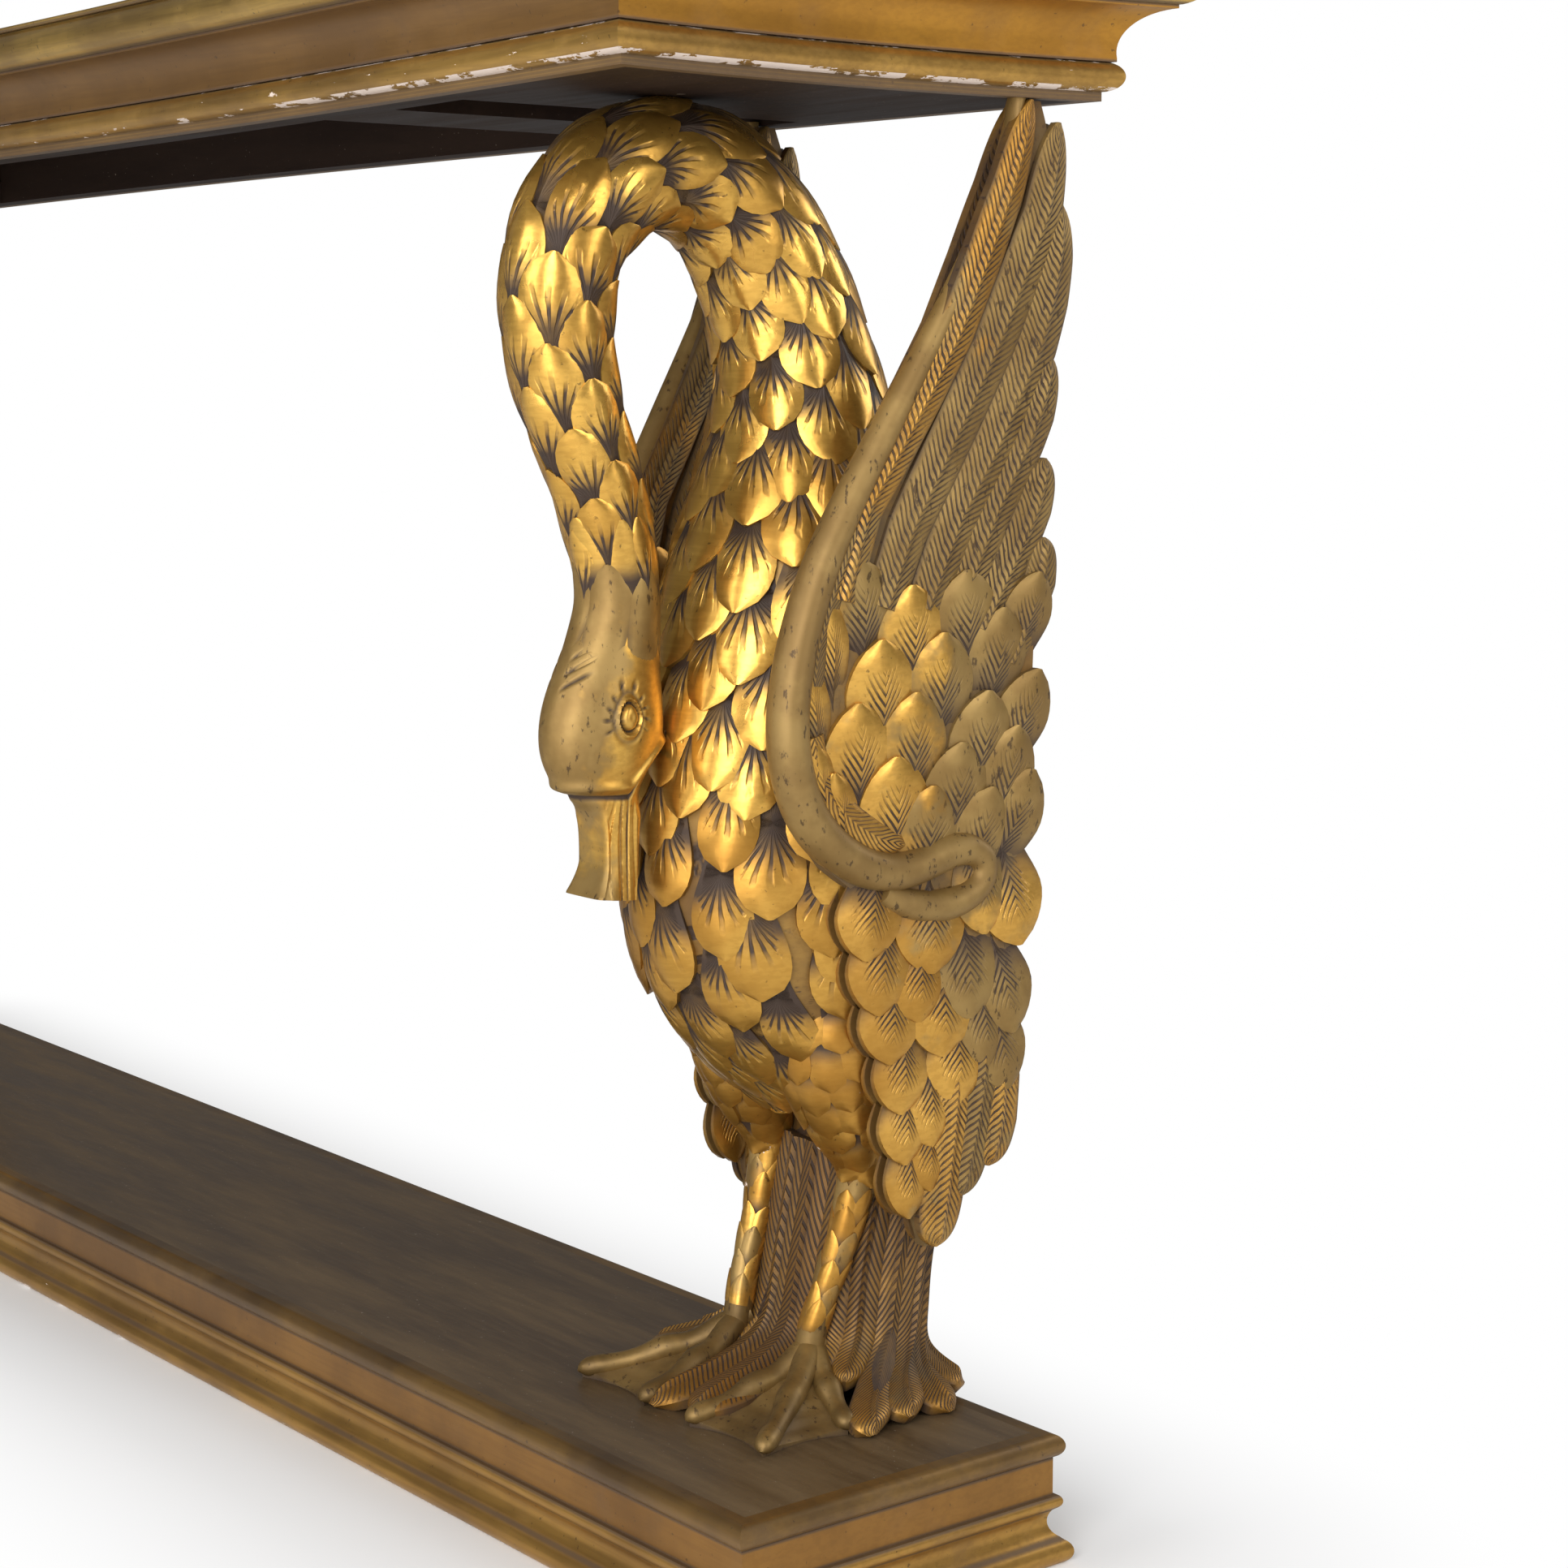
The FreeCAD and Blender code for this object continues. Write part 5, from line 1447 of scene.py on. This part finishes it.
    def tail(self) -> Carving:
        """Tail: pleated feathers that hang behind the legs and spread on the plinth."""
        carving = Carving()
        z, y, b, a, squares = np.array(self.tail_sizes).T
        spine = np.stack([y * MM, self.foot + z * MM], axis=1)
        skin = TubeSkin.along(spine, b * MM, a * MM, level=len(z))
        skin.squares = squares
        # the core, seen between the tail's feathers, gets a low tone: painted shade
        skin.core(carving, (0.50, 1.0), (72, 60), (0.35, 0.5, 0.4), inset=3.5 * MM)
        feather = Feather(cells=(72, 14), root_share=0.9, widest_share=0.4, point_power=4.0, dome=4.6 * MM,
                          sink=4 * MM, shaft=2.4 * MM, shaft_width=2.2 * MM)
        leaf = feather.leaf()
        t, root = leaf.along, self.tail_root
        # two between the feet, eleven round the back, and four that end behind the ankles
        turns = [(0.722, 0.0), (0.778, 0.03)] + [(0.0565 * i - 0.0325, 0.03 * (i % 2)) for i in range(11)]
        turns += [(turn, 0.36) for turn in (0.60, 0.66, 0.84, 0.90)]
        width = float(skin.girth(np.array([0.3]))[0]) * self.tail_leaf_share
        for i, (turn, start) in enumerate(turns):
            turn += self.rng.normal(0, 0.003)
            v = np.clip(root - t * (root - start), 0.0005, 0.9995)
            u = turn + leaf.across * feather.outline(t) * self.tail_leaf_share
            way = skin.at(np.full(len(t), turn), v)[np.argsort(t)]
            length = float(np.linalg.norm(np.diff(way, axis=0), axis=1).sum())
            rise, cavity = feather.rodded(leaf, 2.0 * MM, width)
            rise = rise + 1.6 * MM * (i % 2)
            # the tail's cavity tone is lowered all over and most towards its root under the body: more
            # painted shade and umber there
            cavity = cavity * (0.45 + 0.4 * smoothstep(0.45, 0.95, t))
            normal, _ = skin.facing(u, v)
            points = skin.at(u, v) + normal * rise[:, None]
            points[:, 2] = np.maximum(points[:, 2], self.foot + PLINTH_SKIM)
            carving.add_feathers(leaf, points, cavity, [0.34], self.rng, length / (BARB_SPAN * MM))
        return carving

    def parts(self) -> dict[str, tuple[str, str, Carving]]:
        """Carve every part.

        Returns:
            Piece name to the frame node that it stands for, its finish and its carving.
        """
        parts = {
            "body": ("body", "feathered", self.body()),
            "neck": ("neck", "feathered", self.neck()),
            "head": ("head", "smooth", self.head()),
            "tail": ("tail", "veined", self.tail()),
        }
        for side in Side:
            word = side.name.lower()
            wing = Wing(WingPlane(side), self.rng)
            parts[word + "_leg"] = ("leg", "scaled", self.leg(side))
            parts[word + "_foot"] = ("foot", "webbed", self.webbed_foot(side))
            parts[word + "_wing_blade"] = ("wing", "leafed", wing.blade())
            parts[word + "_wing_quills"] = ("wing", "barbed", wing.feathers())
            parts[word + "_wing_roll"] = ("wing", "smooth", wing.edge())
        return parts


@dataclass(frozen=True)
class SwanPair:
    """The swan at each end of the plinth, and the gilding that they wear."""

    gold: Color = (0.74, 0.43, 0.088)
    brown: Color = (0.31, 0.138, 0.018)

    def finishes(self) -> dict[str, bpy.types.Material]:
        """Materials of the carvings, by what is carved.

        Returns:
            Name of the carving's kind to its material.
        """
        feathered = CarvedGilt("carved_gilt", self.gold, self.brown, roughness=0.27)
        barbed = replace(feathered, name="barbed_gilt", color=(0.62, 0.35, 0.08), roughness=0.34,
                         cut=Cut.BARB, barbs=84.0, slant=0.6, edge=(0.50, 0.66))
        plain = replace(feathered, cut=Cut.NONE, roughness=0.36)
        made = {
            "feathered": feathered,
            "leafed": replace(feathered, name="wing_gilt", color=(0.68, 0.385, 0.08), roughness=0.30,
                              cut=Cut.PALM, barbs=72.0, fade=(0.5, 0.80), edge=(0.30, 0.48)),
            "scaled": replace(plain, name="scaled_gilt", color=(0.66, 0.36, 0.07), roughness=0.32, chips=0.6),
            "barbed": barbed,
            "webbed": replace(plain, name="foot_gilt", color=(0.50, 0.29, 0.065), chips=0.8,
                              paint=(0.150, 0.090, 0.028), pale=(0.27, 0.168, 0.052)),
            "veined": replace(barbed, name="tail_gilt", color=(0.44, 0.235, 0.048), roughness=0.36,
                              paint=(0.140, 0.080, 0.024), pale=(0.23, 0.138, 0.042)),
            "smooth": replace(plain, name="smooth_gilt", color=(0.70, 0.42, 0.09), chips=0.3),
        }
        return {kind: finish.make() for kind, finish in made.items()}

    def stand(self) -> None:
        """Carve one swan and set it at both ends of the plinth."""
        base_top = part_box("plinth_board")[1].z
        swan = Swan(foot=base_top, tall=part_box("apron_front")[0].z - base_top)
        finishes = self.finishes()
        carved = swan.parts()
        for end, outer in (("right", "plus_"), ("left", "minus_")):
            low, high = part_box(end + "_swan_body")
            centre = Vector(((low.x + high.x) / 2, 0, 0))
            for part, (node, finish, carving) in carved.items():
                side = next((side for side in ("plus_", "minus_") if part.startswith(side)), "")
                where = side and ("outer_" if side == outer else "inner_")
                label = where + part.removeprefix(side)
                piece = carving.build("%s_swan_%s_carving" % (end, label), centre)
                piece.data.materials.append(finishes[finish])
                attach(piece, "root")
                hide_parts("%s_swan_%s%s" % (end, where, node))
                LOG.info("%s: %d faces", piece.name, len(piece.data.polygons))


@dataclass(frozen=True)
class FrameDress:
    """Finishes of the nodes that are carried over, with the heights over the floor of the quirks, which get
    painted shade, and of the chipped edges.
    """

    gilt: Color = (0.44, 0.245, 0.056)
    brown: Color = (0.17, 0.088, 0.027)
    foot_quirks: tuple = (0.014, 0.031, 0.039)
    foot_chips: tuple = ((0.0, 0.003, 0.8), (0.011, 0.0135, 0.6), (0.0365, 0.039, 0.4))
    fascia_quirks: tuple = (0.039, 0.061)
    nosing_quirks: tuple = (0.0615,)
    nosing_chips: tuple = ((0.072, 0.0755, 0.25),)
    bead_quirks: tuple = (0.8134, 0.8152, 0.8172, 0.834)
    bead_chips: tuple = ((0.8180, 0.8203, 1.1), (0.8240, 0.8280, 0.65), (0.8330, 0.8350, 1.1))
    cove_quirks: tuple = (0.834, 0.864)
    cove_chips: tuple = ((0.8615, 0.865, 0.4),)
    rim_quirks: tuple = (0.864, 0.8875)
    rim_chips: tuple = ((0.884, 0.891, 0.45), (0.864, 0.867, 0.5))

    def mouldings(self) -> dict[str, Finish]:
        """Gilded and bronzed mouldings of plinth and frieze.

        Returns:
            Part of the node's name to its finish.
        """
        # the end coves keep the bright gilding, the lit copy; the other cove pieces take a darker, duller
        # copy of it: painted shade
        cove = Moulding("gilded_cove", (0.47, 0.225, 0.028), (0.27, 0.118, 0.017), 0.36, 0.7,
                        dark_heights=self.cove_quirks, chip_heights=self.cove_chips)
        return {
            "foot_moulding": Moulding("gilded_foot", self.gilt, self.brown, 0.34, 0.8,
                                      dark_heights=self.foot_quirks, chip_heights=self.foot_chips),
            "fascia": Moulding("bronzed_fascia", (0.30, 0.148, 0.034), (0.17, 0.082, 0.022), 0.40, 0.72,
                               dark_heights=self.fascia_quirks, drift=0.8),
            "nosing": Moulding("gilded_nosing", (0.21, 0.118, 0.034), (0.085, 0.050, 0.022), 0.36, 0.6,
                               dark_heights=self.nosing_quirks, chip_heights=self.nosing_chips, drift=0.85),
            "frieze_bead": Moulding("gilded_bead", (0.62, 0.36, 0.085), self.brown, 0.32, 0.85,
                                    dark_heights=self.bead_quirks, chip_heights=self.bead_chips),
            "cove_right": cove,
            "cove_left": replace(cove, name="gilded_cove_left", chip_heights=()),
            "frieze_cove": replace(cove, name="bronzed_cove", color=(0.25, 0.130, 0.036),
                                   second=(0.14, 0.070, 0.022), roughness=0.40, metallic=0.65),
            "rim": Moulding("gilded_rim", (0.74, 0.47, 0.12), self.brown, 0.28, 0.9,
                            dark_heights=self.rim_quirks, chip_heights=self.rim_chips),
        }

    def boards(self) -> dict[str, Finish]:
        """Boards, blocks, screws and the marble slab.

        Returns:
            Part of the node's name to its finish.
        """
        dark = DarkBoard("dark_apron", (0.018, 0.010, 0.007), (0.036, 0.021, 0.014), 0.6, 0.0,
                         haze=0.6, gloss=0.12)
        pine = DarkBoard("pine_batten", (0.32, 0.20, 0.11), (0.46, 0.31, 0.18), 0.75, 0.0)
        return {
            "plinth_board": DarkBoard("brown_board", (0.060, 0.037, 0.018), (0.165, 0.112, 0.058), 0.30, 0.0,
                                      haze=0.6, gloss=0.25),
            "apron": dark,
            "cross_rail": replace(dark, name="dark_rail"),
            "swan_board": replace(dark, name="dark_swan_board"),
            "batten": pine,
            "glue_blocks": replace(pine, name="pine_block"),
            "screws": DarkBoard("dull_steel", (0.25, 0.23, 0.21), (0.36, 0.30, 0.24), 0.45, 0.9),
            "marble_top": VeinedMarble("veined_marble", (0.040, 0.020, 0.012), (0.115, 0.055, 0.030),
                                       0.20, 0.0),
        }

    def dress(self) -> None:
        """Give every carried-over node its finish."""
        finishes = {**self.mouldings(), **self.boards()}
        made = {key: finish.make() for key, finish in finishes.items()}
        # the screws' nodes have their board's name in theirs, so their word goes first
        keys = ["screws", *finishes]
        for name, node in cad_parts.items():
            key = next((key for key in keys if key in name), None)
            if key is None:
                continue
            node.data.materials.clear()
            node.data.materials.append(made[key])
            LOG.info("%s: %s", name, made[key].name)


@dataclass(frozen=True)
class Studio:
    """White floor and background, five softboxes and the camera at the photograph's place."""

    camera_place: tuple = (2.043, -1.030, 0.664)
    camera_turn: tuple = (82.32, 0.0, 51.29)
    focal_length: float = 69.4
    sensor: float = 36.0
    floor_size: float = 24.0
    softboxes: tuple = (
        ("key", (2.5, -2.5, 1.6), (0.7, 0, 0.45), (1.5, 2.3), 82.0),
        ("front", (0.2, -2.9, 1.6), (0.5, 0, 0.45), (1.2, 1.8), 30.0),
        ("side", (3.4, 0.4, 1.3), (0.8, 0, 0.45), (0.9, 1.8), 26.0),
        ("rim", (1.2, 2.6, 1.6), (0.7, 0, 0.5), (1.2, 1.4), 20.0),
        ("low_fill", (1.6, -2.2, 0.25), (0.4, 0, 0.7), (1.4, 0.4), 8.0),
    )

    def softbox(self, name: str, place: Sequence[float], aim: Sequence[float], size: tuple[float, float],
                power: float) -> None:
        """Add a rectangular studio light.

        Args:
            name: Its name.
            place: Where it stands.
            aim: What it points at.
            size: Width and height.
            power: Watts.
        """
        lamp = bpy.data.lights.new(name, "AREA")
        lamp.shape = "RECTANGLE"
        lamp.size, lamp.size_y = size
        lamp.energy = power
        holder = bpy.data.objects.new(name, lamp)
        holder.location = place
        holder.rotation_euler = (Vector(aim) - Vector(place)).to_track_quat("-Z", "Y").to_euler()
        bpy.context.scene.collection.objects.link(holder)

    def sky(self) -> None:
        """White world that lights the table less than the camera sees, and its reflections less still."""
        world = bpy.data.worlds.new("studio")
        bpy.context.scene.world = world
        world.use_nodes = True
        graph = Graph(world.node_tree)
        background = world.node_tree.nodes["Background"]
        seen = graph.out("ShaderNodeLightPath", output="Is Camera Ray")
        mirrored = graph.out("ShaderNodeLightPath", output="Is Glossy Ray")
        graph.link(graph.larger(seen, mirrored * -0.16 + 0.34), background, "Strength")
        background.inputs["Color"].default_value = (1, 1, 1, 1)

    def floor_material(self) -> bpy.types.Material:
        """Pale floor that keeps a soft shadow near the plinth and is plain white beyond it."""
        low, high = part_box("foot_moulding_front")
        material = bpy.data.materials.new("studio_floor")
        material.use_nodes = True
        graph = Graph(material.node_tree)
        shader = material.node_tree.nodes["Principled BSDF"]
        shader.inputs["Base Color"].default_value = (0.86, 0.86, 0.86, 1)
        shader.inputs["Roughness"].default_value = 0.9
        shader.inputs["Specular IOR Level"].default_value = 0.1
        x, y, _ = graph.parts("ShaderNodeSeparateXYZ", graph.out("ShaderNodeTexCoord", output="Object"))
        past_x, past_y = graph.larger(abs(x) - high.x, 0.0), graph.larger(abs(y) + low.y, 0.0)
        away = graph.math("SQRT", past_x * past_x + past_y * past_y)
        fade = graph.ramp(away, -0.04, 0.26) * graph.out("ShaderNodeLightPath", output="Is Camera Ray")
        glow = graph.out("ShaderNodeEmission", {"Color": (1, 1, 1, 1), "Strength": 1.0})
        blend = graph.out("ShaderNodeMixShader", {0: fade, 1: Value(graph, shader.outputs[0]), 2: glow})
        output = next(node for node in material.node_tree.nodes if node.type == "OUTPUT_MATERIAL")
        graph.link(blend, output, "Surface")
        return material

    def build(self) -> None:
        """Set up floor, backdrop, light and camera."""
        scene = bpy.context.scene
        scene.view_settings.view_transform = "Standard"
        self.sky()
        bpy.ops.mesh.primitive_plane_add(size=self.floor_size, location=(0, 0, 0))
        floor = bpy.context.active_object
        floor.name = "studio_floor"
        floor.data.materials.append(self.floor_material())
        for box in self.softboxes:
            self.softbox(*box)
        lens = bpy.data.cameras.new("view")
        lens.sensor_width = self.sensor
        lens.lens = self.focal_length
        camera = bpy.data.objects.new("view", lens)
        camera.location = self.camera_place
        camera.rotation_euler = [math.radians(turn) for turn in self.camera_turn]
        scene.collection.objects.link(camera)
        scene.camera = camera


def main() -> None:
    """Build the table's looks on its frame."""
    for piece in list(bpy.context.selected_objects):
        piece.select_set(False)
    Studio().build()
    FrameDress().dress()
    SwanPair().stand()


if __name__ == "__main__":
    main()
